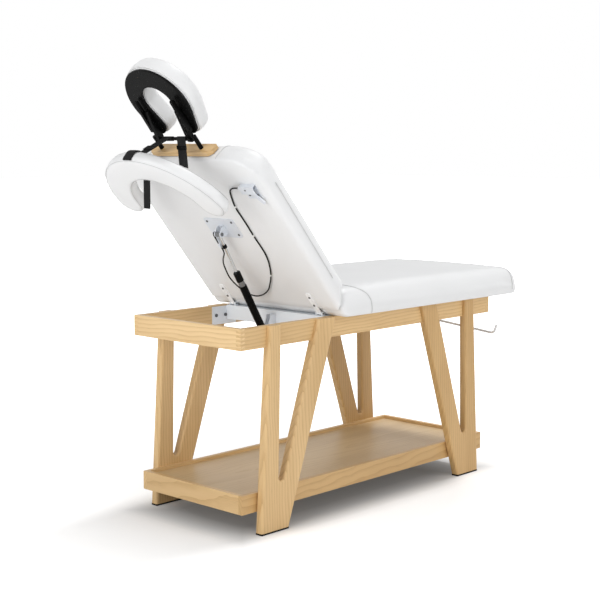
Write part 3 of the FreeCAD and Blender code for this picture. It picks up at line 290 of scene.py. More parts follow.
@dataclass
class Effects:
    """The shader groups that several finishes share."""

    grain: bpy.types.NodeTree = field(init=False)
    hide: bpy.types.NodeTree = field(init=False)
    wear: bpy.types.NodeTree = field(init=False)
    weave: bpy.types.NodeTree = field(init=False)
    brush: bpy.types.NodeTree = field(init=False)

    def __post_init__(self) -> None:
        """Builds every group once."""
        self.grain = self.build_grain()
        self.hide = self.build_hide()
        self.wear = self.build_wear()
        self.weave = self.build_weave()
        self.brush = self.build_brush()

    @staticmethod
    def build_grain() -> bpy.types.NodeTree:
        """Timber with its grain along X: slow colour drift, growth rings cut at a slant, and short pores.

        Returns:
            The group.
        """
        graph, inp, out = start_group(
            "timber_grain",
            [("Vector", VECTOR, None), ("Ring Scale", FLOAT, 16.0), ("Waver", FLOAT, 5.0)],
            [("Figure", FLOAT), ("Pores", FLOAT), ("Drift", FLOAT)],
        )
        vector = inp.outputs["Vector"]
        drift = graph.noise(graph.place(vector, (0.7, 5.0, 5.0)), 2.2, 3.0)
        slanted = graph.place(vector, (0.42, 1.0, 1.0), (0.02, 0.05, 0.06))
        rings = graph.add("ShaderNodeTexWave", wave_type="RINGS", rings_direction="X", wave_profile="SAW")
        graph.feed(rings, "Vector", slanted)
        graph.feed(rings, "Scale", inp.outputs["Ring Scale"])
        graph.feed(rings, "Distortion", inp.outputs["Waver"])
        graph.feed(rings, "Detail", 2.0)
        graph.feed(rings, "Detail Scale", 0.55)
        graph.feed(rings, "Detail Roughness", 0.42)
        late = graph.span(rings.outputs["Fac"], 0.35, 1.0, 0.0, 1.0)
        late = graph.math("POWER", late, 1.7)
        fibre = graph.noise(graph.place(vector, (5.0, 260.0, 260.0)), 1.0, 2.0)
        figure = graph.math("MULTIPLY", late, graph.span(fibre, 0.3, 0.7, 0.55, 1.0))
        pores = graph.noise(graph.place(vector, (22.0, 620.0, 620.0)), 1.0, 1.0)
        pores = graph.span(pores, 0.62, 0.72, 0.0, 1.0)
        pores = graph.math("MULTIPLY", pores, graph.span(late, 0.1, 0.6, 0.15, 1.0))
        graph.feed(out, "Figure", figure)
        graph.feed(out, "Pores", pores)
        graph.feed(out, "Drift", drift)
        return graph.tree

    @staticmethod
    def build_hide() -> bpy.types.NodeTree:
        """Upholstery vinyl: a fine pebble grain with shallow creases between the pebbles.

        Returns:
            The group.
        """
        graph, inp, out = start_group(
            "vinyl_grain",
            [("Vector", VECTOR, None), ("Pebble Scale", FLOAT, 900.0)],
            [("Height", FLOAT), ("Shade", FLOAT)],
        )
        vector = inp.outputs["Vector"]
        pebble = graph.add("ShaderNodeTexVoronoi", feature="SMOOTH_F1")
        graph.feed(pebble, "Vector", vector)
        graph.feed(pebble, "Scale", inp.outputs["Pebble Scale"])
        fine = graph.noise(vector, 420.0, 3.0)
        slow = graph.noise(vector, 3.5, 3.0)
        rise = graph.span(pebble.outputs["Distance"], 0.1, 0.7, 1.0, 0.0)
        height = graph.math("ADD", graph.math("MULTIPLY", rise, 0.75), graph.math("MULTIPLY", fine, 0.25))
        shade = graph.math("ADD", graph.math("MULTIPLY", height, 0.35), graph.math("MULTIPLY", slow, 0.65))
        graph.feed(out, "Height", height)
        graph.feed(out, "Shade", shade)
        return graph.tree

    @staticmethod
    def build_wear() -> bpy.types.NodeTree:
        """Handling marks: soft smears and a few fine scratches, as one mask and one smear value.

        Returns:
            The group.
        """
        graph, inp, out = start_group(
            "handling_wear",
            [("Vector", VECTOR, None), ("Smear Scale", FLOAT, 14.0), ("Amount", FLOAT, 0.5)],
            [("Scuff", FLOAT), ("Smear", FLOAT)],
        )
        vector = inp.outputs["Vector"]
        smear = graph.add("ShaderNodeTexNoise")
        graph.feed(smear, "Vector", vector)
        graph.feed(smear, "Scale", inp.outputs["Smear Scale"])
        graph.feed(smear, "Detail", 4.0)
        scratch = graph.noise(graph.place(vector, (35.0, 420.0, 160.0), (0.3, 0.5, 0.9)), 1.0, 1.0)
        scratch = graph.span(scratch, 0.66, 0.74, 0.0, 1.0)
        patch = graph.span(smear.outputs["Fac"], 0.48, 0.66, 0.0, 1.0)
        scuff = graph.math("MULTIPLY", graph.math("MULTIPLY", scratch, patch), inp.outputs["Amount"])
        graph.feed(out, "Scuff", scuff)
        graph.feed(out, "Smear", smear.outputs["Fac"])
        return graph.tree

    @staticmethod
    def build_weave() -> bpy.types.NodeTree:
        """Flat webbing: ribs across the band and yarns along it.

        Returns:
            The group.
        """
        graph, inp, out = start_group(
            "webbing_weave",
            [("Vector", VECTOR, None), ("Rib Scale", FLOAT, 420.0)],
            [("Height", FLOAT), ("Shade", FLOAT)],
        )
        waves = []
        for direction in ("Y", "Z"):
            wave = graph.add("ShaderNodeTexWave", wave_type="BANDS", bands_direction=direction)
            graph.feed(wave, "Vector", inp.outputs["Vector"])
            graph.feed(wave, "Scale", inp.outputs["Rib Scale"])
            graph.feed(wave, "Distortion", 0.6)
            waves.append(wave.outputs["Fac"])
        height = graph.math("MULTIPLY", waves[0], waves[1])
        lint = graph.noise(inp.outputs["Vector"], 160.0, 4.0)
        graph.feed(out, "Height", height)
        shade = graph.math("ADD", graph.math("MULTIPLY", height, 0.6), graph.math("MULTIPLY", lint, 0.4))
        graph.feed(out, "Shade", shade)
        return graph.tree

    @staticmethod
    def build_brush() -> bpy.types.NodeTree:
        """Drawn or plated metal: fine lines along the part and slow clouding.

        Returns:
            The group.
        """
        graph, inp, out = start_group(
            "drawn_metal",
            [("Vector", VECTOR, None), ("Line Scale", FLOAT, 900.0)],
            [("Lines", FLOAT), ("Cloud", FLOAT)],
        )
        vector = inp.outputs["Vector"]
        lines = graph.add("ShaderNodeTexNoise")
        graph.feed(lines, "Vector", graph.place(vector, (0.06, 1.0, 0.06)))
        graph.feed(lines, "Scale", inp.outputs["Line Scale"])
        graph.feed(lines, "Detail", 2.0)
        graph.feed(out, "Lines", lines.outputs["Fac"])
        graph.feed(out, "Cloud", graph.noise(vector, 28.0, 4.0))
        return graph.tree


@dataclass
class Bench:
    """A material under way: its graph, its shader and the part's own coordinates."""

    material: bpy.types.Material
    graph: Graph
    shader: bpy.types.Node
    vector: bpy.types.NodeSocket

    @classmethod
    def open(cls, name: str) -> "Bench":
        """Makes a new material with a plain principled shader.

        Args:
            name: the material's name.

        Returns:
            The bench with its shader and coordinates.
        """
        material = bpy.data.materials.new(name)
        material.use_nodes = True
        graph = Graph(material.node_tree)
        shader = material.node_tree.nodes["Principled BSDF"]
        return cls(material, graph, shader, graph.add("ShaderNodeTexCoord").outputs["Object"])

    def group(self, tree: bpy.types.NodeTree, **values: object) -> bpy.types.Node:
        """Places a shared group.

        Args:
            tree: the node group.
            values: its inputs, with underscores for spaces; Vector falls back to the part's coordinates.

        Returns:
            The group's node.
        """
        node = self.graph.add("ShaderNodeGroup", node_tree=tree)
        self.graph.feed(node, "Vector", values.pop("Vector", self.vector))
        for name, value in values.items():
            self.graph.feed(node, name.replace("_", " "), value)
        return node

    def raise_surface(self, height: object, strength: float, distance: float) -> None:
        """Feeds a height into the shader's normal through a bump.

        Args:
            height: the socket to raise by.
            strength: how strongly it shows.
            distance: how far it rises, in metres.
        """
        bump = self.graph.add("ShaderNodeBump")
        self.graph.feed(bump, "Height", height)
        self.graph.feed(bump, "Strength", strength)
        self.graph.feed(bump, "Distance", distance)
        self.graph.feed(self.shader, "Normal", bump.outputs[0])


@dataclass(frozen=True)
class TimberFinish:
    """Clear-lacquered pale timber."""

    name: str
    grain: Grain
    pale: Colour = (0.73, 0.50, 0.242)
    dark: Colour = (0.455, 0.257, 0.092)
    warm: Colour = (0.635, 0.418, 0.188)
    ring_scale: float = 27.0
    figure_share: float = 0.58

    def build(self, effects: Effects) -> bpy.types.Material:
        """Makes the material.

        Args:
            effects: the shared groups.

        Returns:
            The material.
        """
        bench = Bench.open(self.name)
        graph = bench.graph
        turn = {
            Grain.LENGTHWISE: (0.0, 0.0, 0.0),
            Grain.CROSSWISE: (0.0, 0.0, math.pi / 2),
            Grain.UPRIGHT: (0.0, math.pi / 2, 0.0),
        }[self.grain]
        along = graph.place(bench.vector, (1, 1, 1), turn)
        timber = bench.group(effects.grain, Vector=along, Ring_Scale=self.ring_scale, Waver=4.5)
        wear = bench.group(effects.wear, Smear_Scale=9.0, Amount=0.3)
        drift = graph.span(timber.outputs["Drift"], 0.35, 0.65, 0.0, 1.0)
        base = graph.mix(drift, rgba(self.pale), rgba(self.warm))
        figure = graph.math("MULTIPLY", timber.outputs["Figure"], self.figure_share)
        base = graph.mix(figure, base, rgba(self.dark))
        pore = rgba(tuple(c * 0.6 for c in self.dark))
        base = graph.mix(graph.math("MULTIPLY", timber.outputs["Pores"], 0.4), base, pore)
        graph.feed(bench.shader, "Base Color", base)
        rough = graph.math("ADD", graph.math("MULTIPLY", timber.outputs["Figure"], 0.08), 0.40)
        rough = graph.math("ADD", rough, graph.math("MULTIPLY", wear.outputs["Smear"], 0.10))
        graph.feed(bench.shader, "Roughness", rough)
        bench.shader.inputs["Coat Weight"].default_value = 0.12
        bench.shader.inputs["Coat Roughness"].default_value = 0.3
        dip = graph.math("SUBTRACT", 1.0, graph.math("MULTIPLY", timber.outputs["Pores"], 0.8))
        dip = graph.math("SUBTRACT", dip, graph.math("MULTIPLY", timber.outputs["Figure"], 0.25))
        bench.raise_surface(dip, 0.18, 0.0006)
        return bench.material


@dataclass(frozen=True)
class VinylFinish:
    """White upholstery vinyl, faintly warmer in its creases."""

    name: str
    face: Colour = (0.80, 0.805, 0.81)
    crease: Colour = (0.69, 0.694, 0.70)
    pebble_scale: float = 620.0

    def build(self, effects: Effects) -> bpy.types.Material:
        """Makes the material.

        Args:
            effects: the shared groups.

        Returns:
            The material.
        """
        bench = Bench.open(self.name)
        graph = bench.graph
        hide = bench.group(effects.hide, Pebble_Scale=self.pebble_scale)
        wear = bench.group(effects.wear, Smear_Scale=5.0, Amount=0.2)
        share = graph.span(hide.outputs["Shade"], 0.3, 0.75, 0.35, 0.0)
        graph.feed(bench.shader, "Base Color", graph.mix(share, rgba(self.face), rgba(self.crease)))
        rough = graph.math("ADD", graph.math("MULTIPLY", wear.outputs["Smear"], 0.16), 0.36)
        graph.feed(bench.shader, "Roughness", rough)
        bench.raise_surface(hide.outputs["Height"], 0.22, 0.0006)
        return bench.material


@dataclass(frozen=True)
class EnamelFinish:
    """Powder coat or paint on metal, with a faint orange peel."""

    name: str
    colour: Colour
    rough: float = 0.34
    peel: float = 0.10
    shine: float = 0.5

    def build(self, effects: Effects) -> bpy.types.Material:
        """Makes the material.

        Args:
            effects: the shared groups.

        Returns:
            The material.
        """
        bench = Bench.open(self.name)
        graph = bench.graph
        wear = bench.group(effects.wear, Smear_Scale=30.0, Amount=0.5)
        worn = tuple(min(1.0, c * 0.76 + 0.01) for c in self.colour)
        coat = graph.mix(wear.outputs["Scuff"], rgba(self.colour), rgba(worn))
        graph.feed(bench.shader, "Base Color", coat)
        rough = graph.math("ADD", graph.math("MULTIPLY", wear.outputs["Smear"], 0.18), self.rough - 0.09)
        graph.feed(bench.shader, "Roughness", rough)
        bench.shader.inputs["Specular IOR Level"].default_value = self.shine
        bench.raise_surface(graph.noise(bench.vector, 900.0, 2.0), self.peel, 0.0004)
        return bench.material


@dataclass(frozen=True)
class MetalFinish:
    """Bare or plated steel with drawn lines, darkened toward its grazing rims by painted shade."""

    name: str
    colour: Colour
    rough: float = 0.28
    painted_rim_shade: float = 0.45
    metallic: float = 1.0

    def build(self, effects: Effects) -> bpy.types.Material:
        """Makes the material.

        Args:
            effects: the shared groups.

        Returns:
            The material.
        """
        bench = Bench.open(self.name)
        graph = bench.graph
        drawn = bench.group(effects.brush, Line_Scale=700.0)
        dull = tuple(c * 0.8 for c in self.colour)
        tone = graph.mix(drawn.outputs["Cloud"], rgba(self.colour), rgba(dull))
        # Painted shade: the colour darkens where the surface turns away from view.
        rim = graph.add("ShaderNodeLayerWeight")
        graph.feed(rim, "Blend", 0.35)
        dark = rgba(tuple(c * (1.0 - self.painted_rim_shade) for c in self.colour))
        graph.feed(bench.shader, "Base Color", graph.mix(rim.outputs["Facing"], tone, dark))
        bench.shader.inputs["Metallic"].default_value = self.metallic
        rough = graph.math("ADD", graph.math("MULTIPLY", drawn.outputs["Lines"], 0.16), self.rough - 0.08)
        graph.feed(bench.shader, "Roughness", rough)
        bench.raise_surface(drawn.outputs["Lines"], 0.06, 0.0003)
        return bench.material


@dataclass(frozen=True)
class MouldedFinish:
    """Moulded plastic or rubber with a spark-eroded texture."""

    name: str
    colour: Colour
    rough: float = 0.5
    texture: float = 0.25
    shine: float = 0.5

    def build(self, effects: Effects) -> bpy.types.Material:
        """Makes the material.

        Args:
            effects: the shared groups.

        Returns:
            The material.
        """
        bench = Bench.open(self.name)
        graph = bench.graph
        wear = bench.group(effects.wear, Smear_Scale=40.0, Amount=0.7)
        pale = tuple(min(1.0, c * 1.6 + 0.008) for c in self.colour)
        coat = graph.mix(wear.outputs["Scuff"], rgba(self.colour), rgba(pale))
        graph.feed(bench.shader, "Base Color", coat)
        rough = graph.math("ADD", graph.math("MULTIPLY", wear.outputs["Smear"], 0.2), self.rough - 0.1)
        graph.feed(bench.shader, "Roughness", rough)
        bench.shader.inputs["Specular IOR Level"].default_value = self.shine
        bench.raise_surface(graph.noise(bench.vector, 1500.0, 2.0), self.texture, 0.0004)
        return bench.material


@dataclass(frozen=True)
class WebbingFinish:
    """Woven nylon webbing."""

    name: str
    yarn: Colour = (0.006, 0.006, 0.006)
    lint: Colour = (0.02, 0.02, 0.021)
    shine: float = 0.15

    def build(self, effects: Effects) -> bpy.types.Material:
        """Makes the material.

        Args:
            effects: the shared groups.

        Returns:
            The material.
        """
        bench = Bench.open(self.name)
        graph = bench.graph
        weave = bench.group(effects.weave, Rib_Scale=150.0)
        cloth = graph.mix(weave.outputs["Shade"], rgba(self.yarn), rgba(self.lint))
        graph.feed(bench.shader, "Base Color", cloth)
        graph.feed(bench.shader, "Roughness", graph.span(weave.outputs["Height"], 0.0, 1.0, 0.85, 0.6))
        bench.shader.inputs["Specular IOR Level"].default_value = self.shine
        bench.raise_surface(weave.outputs["Height"], 0.6, 0.0008)
        return bench.material


@dataclass
class Palette:
    """Every finished material, by slot; timber has one for each tone of painted light and shade and each way
    the grain runs.
    """

    effects: Effects
    by_slot: dict[Slot, bpy.types.Material] = field(default_factory=dict)
    timber: dict[tuple[Grain, PaintedLightTone], bpy.types.Material] = field(default_factory=dict)
    thread: bpy.types.Material | None = None
    seam: bpy.types.Material | None = None
    shaded_fastener: bpy.types.Material | None = None
    lit_strap: bpy.types.Material | None = None

    def build(self) -> None:
        """Makes all the materials."""
        # Paler and darker copies of the timber: painted light for boards on lit faces, painted shade for
        # boards in shade.
        for grain in Grain:
            for tone in PaintedLightTone:
                plain = TimberFinish(f"ash_{grain.value}_{tone.name.lower()}", grain)
                tinted = {part: tone.tint(getattr(plain, part)) for part in ("pale", "dark", "warm")}
                self.timber[grain, tone] = replace(plain, **tinted).build(self.effects)
        # The plywood panel is coloured darker than the boards: partly its own plywood colour and partly
        # painted shade from the table above it.
        panel = TimberFinish(
            "shelf_ply_painted_shade",
            Grain.LENGTHWISE,
            pale=(0.62, 0.45, 0.245),
            dark=(0.44, 0.285, 0.13),
            warm=(0.55, 0.385, 0.2),
            ring_scale=24.0,
            figure_share=0.3,
        )
        rubber = MouldedFinish("black_rubber", (0.006, 0.006, 0.006), 0.45, 0.2, 0.15)
        moulding = MouldedFinish("black_moulding", (0.004, 0.004, 0.004), 0.28, 0.10, 0.08)
        black = EnamelFinish("black_enamel", (0.003, 0.003, 0.003), 0.26, 0.05, 0.06)
        white = MouldedFinish("white_moulding", (0.78, 0.78, 0.76), 0.4, 0.1)
        self.by_slot = {
            Slot.TIMBER: self.timber[Grain.LENGTHWISE, PaintedLightTone.MIDDLE],
            Slot.PLY: panel.build(self.effects),
            Slot.VINYL: VinylFinish("upholstery_vinyl").build(self.effects),
            Slot.RUBBER: rubber.build(self.effects),
            Slot.WHITE_ENAMEL: EnamelFinish("white_enamel", (0.74, 0.78, 0.82)).build(self.effects),
            Slot.ZINC: MetalFinish("zinc_plate", (0.90, 0.94, 1.0), 0.42, 0.4, 0.25).build(self.effects),
            Slot.STEEL: MetalFinish("bright_steel", (0.27, 0.275, 0.28), 0.28).build(self.effects),
            Slot.CHROME: MetalFinish("chromed_rod", (0.72, 0.73, 0.74), 0.14).build(self.effects),
            Slot.PLASTIC: moulding.build(self.effects),
            Slot.BLACK_ENAMEL: black.build(self.effects),
            Slot.WHITE_PLASTIC: white.build(self.effects),
            Slot.WEBBING: WebbingFinish("black_webbing").build(self.effects),
        }
        self.thread = MouldedFinish("sewing_thread", (0.70, 0.70, 0.70), 0.6, 0.2).build(self.effects)
        # Painted shade: the welt is the cover's vinyl coloured dark grey, standing for the shadow in the
        # seam's groove.
        self.seam = VinylFinish("seam_welt", (0.55, 0.55, 0.55), (0.42, 0.42, 0.42)).build(self.effects)
        # Painted shade: screws, bolts and pins coloured darker than the bright steel, standing for the shade
        # in their recesses.
        self.shaded_fastener = MetalFinish("fastener_in_painted_shade", (0.16, 0.165, 0.17), 0.4).build(self.effects)
        # Painted light: a brighter copy of the white enamel for the hinge straps, which are lit while the
        # channel in the same enamel lies in shade.
        self.lit_strap = EnamelFinish("strap_enamel_painted_light", (0.92, 0.93, 0.94), 0.28).build(self.effects)
        self.rod = MetalFinish("dull_rod", (0.86, 0.86, 0.87), 0.42, 0.4, 0.25).build(self.effects)

    def of(self, slot: Slot) -> bpy.types.Material:
        """The material of a slot."""
        return self.by_slot[slot]


def dress(obj: bpy.types.Object, material: bpy.types.Material) -> None:
    """Gives an object one material in place of its own."""
    obj.data.materials.clear()
    obj.data.materials.append(material)


def mesh_object(
    name: str, points: Sequence[Vector], faces: Sequence[Sequence[int]], smooth: bool = True
) -> bpy.types.Object:
    """Makes a mesh object in the row frame.

    Args:
        name: the piece's name.
        points: vertices in metres.
        faces: vertex numbers of each face.
        smooth: whether faces shade smoothly.

    Returns:
        The object, linked to the scene.
    """
    mesh = bpy.data.meshes.new(name)
    mesh.from_pydata([tuple(p) for p in points], [], [tuple(f) for f in faces])
    mesh.validate()
    shell = bmesh.new()
    shell.from_mesh(mesh)
    bmesh.ops.recalc_face_normals(shell, faces=shell.faces[:])
    for face in shell.faces:
        face.smooth = smooth
    shell.to_mesh(mesh)
    shell.free()
    obj = bpy.data.objects.new(name, mesh)
    bpy.context.scene.collection.objects.link(obj)
    return obj


def arc_points(a: Vector, b: Vector, centre: Vector, count: int) -> list[Vector]:
    """Points on a quarter turn from a towards b about a centre, without b."""
    steps = [math.pi / 2 * i / count for i in range(count)]
    return [centre + (a - centre) * math.cos(t) + (b - centre) * math.sin(t) for t in steps]


def line_points(a: Vector, b: Vector, count: int) -> list[Vector]:
    """Evenly spaced points from a towards b, without b."""
    return [a.lerp(b, i / count) for i in range(count)]


def drawn_in(radius: float, distance: float) -> float:
    """How far a rounded edge has fallen back at a distance from the side."""
    if distance >= radius:
        return 0.0
    return radius - math.sqrt(radius**2 - (radius - max(0.0, distance)) ** 2)


@dataclass
class LongPad:
    """A crowned upholstered pad: side profiles drawn in toward both sides, in millimetres of its own frame.

    Its own frame has length from the hinge end, side across, and height from the underside.
    """

    name: str
    length: float
    height: float
    half_width: float
    hinge_under: float
    hinge_top: float
    free_under: float
    free_top: float
    side_under: float
    side_top: float
    hinge_corner: float
    free_corner: float
    crown: float
    lip: float = 0.0
    lip_rise: float = 0.0
    side_bulge: float = 3.0
    rounding_share: float = 0.92

    def section(self, side: float) -> list[Vector]:
        """The closed profile at a place across the width, as length, side, height.

        Args:
            side: the place across.

        Returns:
            Its points in order.
        """
        distance = self.half_width - abs(side)
        low = drawn_in(self.side_under, distance)
        lateral = 1 - (abs(side) / self.half_width) ** 2
        top = self.height - drawn_in(self.side_top, distance) + self.crown * lateral
        first = drawn_in(self.hinge_corner, distance)
        last = self.length - drawn_in(self.free_corner, distance)
        roundings = max(self.hinge_under + self.hinge_top, self.free_under + self.free_top)
        fit = min(1.0, self.rounding_share * (top - low) / roundings)
        h_under, h_top, f_under, f_top = (
            r * fit for r in (self.hinge_under, self.hinge_top, self.free_under, self.free_top)
        )

        def at(length: float, height: float) -> Vector:
            """A point of this profile."""
            return Vector((length, side, height))

        start = at(first - self.lip, low) if self.lip else at(first + h_under, low)
        rise = self.lip_rise if self.lip else h_under
        points = line_points(start, at(last - f_under, low), 40)
        bend = at(last - f_under, low + f_under)
        points += arc_points(at(last - f_under, low), at(last, low + f_under), bend, 6)
        points += line_points(at(last, low + f_under), at(last, top - f_top), 4)
        bend = at(last - f_top, top - f_top)
        points += arc_points(at(last, top - f_top), at(last - f_top, top), bend, 12)
        run = line_points(at(last - f_top, top), at(first + h_top, top), 56)
        middle = (first + last) / 2
        half_run = (last - first) / 2
        for point in run:
            point.z += self.crown / 2 * max(0.0, 1 - ((point.x - middle) / half_run) ** 2)
        points += run
        bend = at(first + h_top, top - h_top)
        points += arc_points(at(first + h_top, top), at(first, top - h_top), bend, 10)
        points += line_points(at(first, top - h_top), at(first, low + rise), 6)
        if self.lip:
            points += line_points(at(first, low + rise), start, 8)
        else:
            points += arc_points(at(first, low + rise), start, at(first + h_under, low + rise), 10)
        return points

    def sides(self) -> list[float]:
        """Places across the width, close together near both edges.

        Returns:
            The places, from one side to the other.
        """
        edge = max(self.hinge_corner, self.free_corner)
        near = [edge * (1 - math.cos(math.pi / 2 * i / 14)) for i in range(15)]
        left = [-self.half_width + d for d in near]
        inner = self.half_width - edge
        middle = [-inner + 2 * inner * i / 18 for i in range(1, 18)]
        return left + middle + [-s for s in reversed(left)]

    def build(self, place: Callable[[Vector], Vector]) -> bpy.types.Object:
        """Makes the pad's closed mesh.

        Args:
            place: turns a point of the pad's frame, in millimetres, into the row frame in metres.

        Returns:
            The pad.
        """
        rings = [self.section(side) for side in self.sides()]
        count = len(rings[0])
        points = [p for ring in rings for p in ring]
        faces: list[list[int]] = []
        for row in range(len(rings) - 1):
            for i in range(count):
                j = (i + 1) % count
                faces.append([row * count + i, row * count + j, (row + 1) * count + j, (row + 1) * count + i])
        for row, sign in ((0, -1.0), (len(rings) - 1, 1.0)):
            outer = [row * count + i for i in range(count)]
            middle = sum((rings[row][i] for i in range(count)), Vector()) / count
            for share in (0.82, 0.6, 0.35):
                inner = []
                for i in range(count):
                    spot = rings[row][i]
                    moved = Vector((spot.x, spot.y, spot.z))
                    moved.z = middle.z + (spot.z - middle.z) * share
                    moved.x = spot.x + (middle.x - spot.x) * (1 - share) * 0.12
                    moved.y += sign * self.side_bulge * (1 - share**2)
                    inner.append(len(points))
                    points.append(moved)
                for i in range(count):
                    j = (i + 1) % count
                    faces.append([outer[i], outer[j], inner[j], inner[i]])
                outer = inner
            faces.append(outer)
        return mesh_object(self.name, [place(p) for p in points], faces)


@dataclass
class BandPad:
    """A stuffed band bent round a centre, apex to -X, with straight limbs and round ends, in millimetres."""

    name: str
    outer: float
    band: float
    height: float
    under: float
    top: float
    crown: float
    sweep: float
    limb: float

    @property
    def half(self) -> float:
        """Half the band's width."""
        return self.band / 2

    @property
    def middle(self) -> float:
        """The radius of the band's middle line."""
        return self.outer - self.half

    def top_at(self, reach: float) -> float:
        """Height of the upper face at a distance from the band's middle line.

        Args:
            reach: the distance.

        Returns:
            The height.
        """
        flat = self.half - self.top
        if reach <= flat:
            return self.height + self.crown * (1 - (reach / flat) ** 2)
        return self.height - drawn_in(self.top, self.half - reach)

    def under_at(self, reach: float) -> float:
        """Height of the lower face at a distance from the band's middle line."""
        return drawn_in(self.under, max(0.0, self.half - reach))

    def stations(self) -> list[tuple[Vector, Vector, float]]:
        """Middle points along the band with their outward directions and the distance past a limb's end.

        Returns:
            One entry for each section, in order along the band.
        """
        found: list[tuple[Vector, Vector, float]] = []
        caps = [self.half * math.sin(math.pi / 2 * i / 12) for i in range(1, 13)]
        turns = [-self.sweep + 2 * self.sweep * i / 56 for i in range(57)]
        spots = []
        for turn in turns:
            out = Vector((-math.cos(turn), -math.sin(turn), 0.0))
            spots.append((out * self.middle, out))
        first, last = spots[0], spots[-1]
        ahead_first = Vector((first[1].y, -first[1].x, 0.0))
        ahead_last = Vector((-last[1].y, last[1].x, 0.0))
        if ahead_first.x < 0:
            ahead_first.negate()
        if ahead_last.x < 0:
            ahead_last.negate()
        for distance in reversed(caps):
            step = min(distance, self.half * 0.998)
            found.append((first[0] + ahead_first * (self.limb + step), first[1], step))
        if self.limb:
            for i in range(10):
                found.append((first[0] + ahead_first * self.limb * (1 - i / 10), first[1], 0.0))
        found += [(spot, out, 0.0) for spot, out in spots]
        if self.limb:
            for i in range(1, 11):
                found.append((last[0] + ahead_last * self.limb * (i / 10), last[1], 0.0))
        for distance in caps:
            step = min(distance, self.half * 0.998)
            found.append((last[0] + ahead_last * (self.limb + step), last[1], step))
        return found

    def ring(self, spot: Vector, out: Vector, past: float) -> list[Vector]:
        """One closed section of the band.

        Args:
            spot: its middle.
            out: its outward direction.
            past: its distance past a limb's end.

        Returns:
            Its points in order.
        """
        wide = math.sqrt(max(0.0, self.half**2 - past**2))
        across = [-math.cos(math.pi * i / 22) * wide for i in range(23)]
        points = []
        for a in across:
            points.append(spot + out * a + Vector((0, 0, self.under_at(math.hypot(a, past)))))
        low = self.under_at(self.half)
        high = self.top_at(self.half)
        for share in (0.33, 0.67):
            bulge = 1.5 * wide / self.half
            points.append(spot + out * (wide + bulge) + Vector((0, 0, low + (high - low) * share)))
        for a in reversed(across):
            points.append(spot + out * a + Vector((0, 0, self.top_at(math.hypot(a, past)))))
        for share in (0.67, 0.33):
            bulge = 1.5 * wide / self.half
            points.append(spot - out * (wide + bulge) + Vector((0, 0, low + (high - low) * share)))
        return points

    def edge_line(self, high: bool) -> list[Vector]:
        """The closed line half way round the upper or lower edge, for a seam.

        Args:
            high: whether the upper edge is meant.

        Returns:
            The line's points.
        """
        radius = self.top if high else self.under
        inset = radius * (1 - math.sqrt(0.5))
        height = self.height - inset if high else inset
        reach = self.half - inset
        sides: dict[int, list[Vector]] = {1: [], -1: []}
        for spot, out, past in self.stations():
            wide = math.sqrt(max(0.0, reach**2 - min(past, reach) ** 2))
            if past > reach:
                continue
            for sign in (1, -1):
                sides[sign].append(spot + out * (sign * wide) + Vector((0, 0, height)))
        return sides[1] + list(reversed(sides[-1]))

    def build(self, place: Callable[[Vector], Vector]) -> bpy.types.Object:
        """Makes the pad's closed mesh.

        Args:
            place: turns a point of the pad's frame, in millimetres, into the row frame in metres.

        Returns:
            The pad.
        """
        rings = [self.ring(*station) for station in self.stations()]
        count = len(rings[0])
        points = [p for ring in rings for p in ring]
        faces: list[list[int]] = []
        for row in range(len(rings) - 1):
            for i in range(count):
                j = (i + 1) % count
                faces.append([row * count + i, row * count + j, (row + 1) * count + j, (row + 1) * count + i])
        faces.append(list(range(count)))
        last = (len(rings) - 1) * count
        faces.append([last + i for i in range(count)])
        return mesh_object(self.name, [place(p) for p in points], faces)


def tube(name: str, line: Sequence[Vector], radius: float, closed: bool, sides: int = 8) -> bpy.types.Object:
    """A thin round tube along a line, in metres.

    Args:
        name: the piece's name.
        line: the points it follows.
        radius: its radius.
        closed: whether the line returns to its start.
        sides: corners of its section.

    Returns:
        The tube.
    """
    count = len(line)
    points: list[Vector] = []
    normal = Vector((0, 0, 1))
    for i, spot in enumerate(line):
        before = line[i - 1] if i or closed else spot
        after = line[(i + 1) % count] if i < count - 1 or closed else spot
        ahead = (after - before).normalized()
        normal = normal - ahead * normal.dot(ahead)
        if normal.length < 1e-6:
            normal = ahead.orthogonal()
        normal.normalize()
        side = ahead.cross(normal)
        for k in range(sides):
            turn = 2 * math.pi * k / sides
            points.append(spot + (normal * math.cos(turn) + side * math.sin(turn)) * radius)
    faces: list[list[int]] = []
    for i in range(count if closed else count - 1):
        j = (i + 1) % count
        for k in range(sides):
            m = (k + 1) % sides
            faces.append([i * sides + k, i * sides + m, j * sides + m, j * sides + k])
    if not closed:
        faces.append(list(range(sides)))
        faces.append([(count - 1) * sides + k for k in range(sides)])
    return mesh_object(name, points, faces)


@dataclass(frozen=True)
class SeamPlan:
    """One seam before it is sewn: points off the pad with the ways they drop onto it, or points beside it."""

    name: str
    points: Sequence[Vector]
    ways: Sequence[Vector] = ()
    closed: bool = False


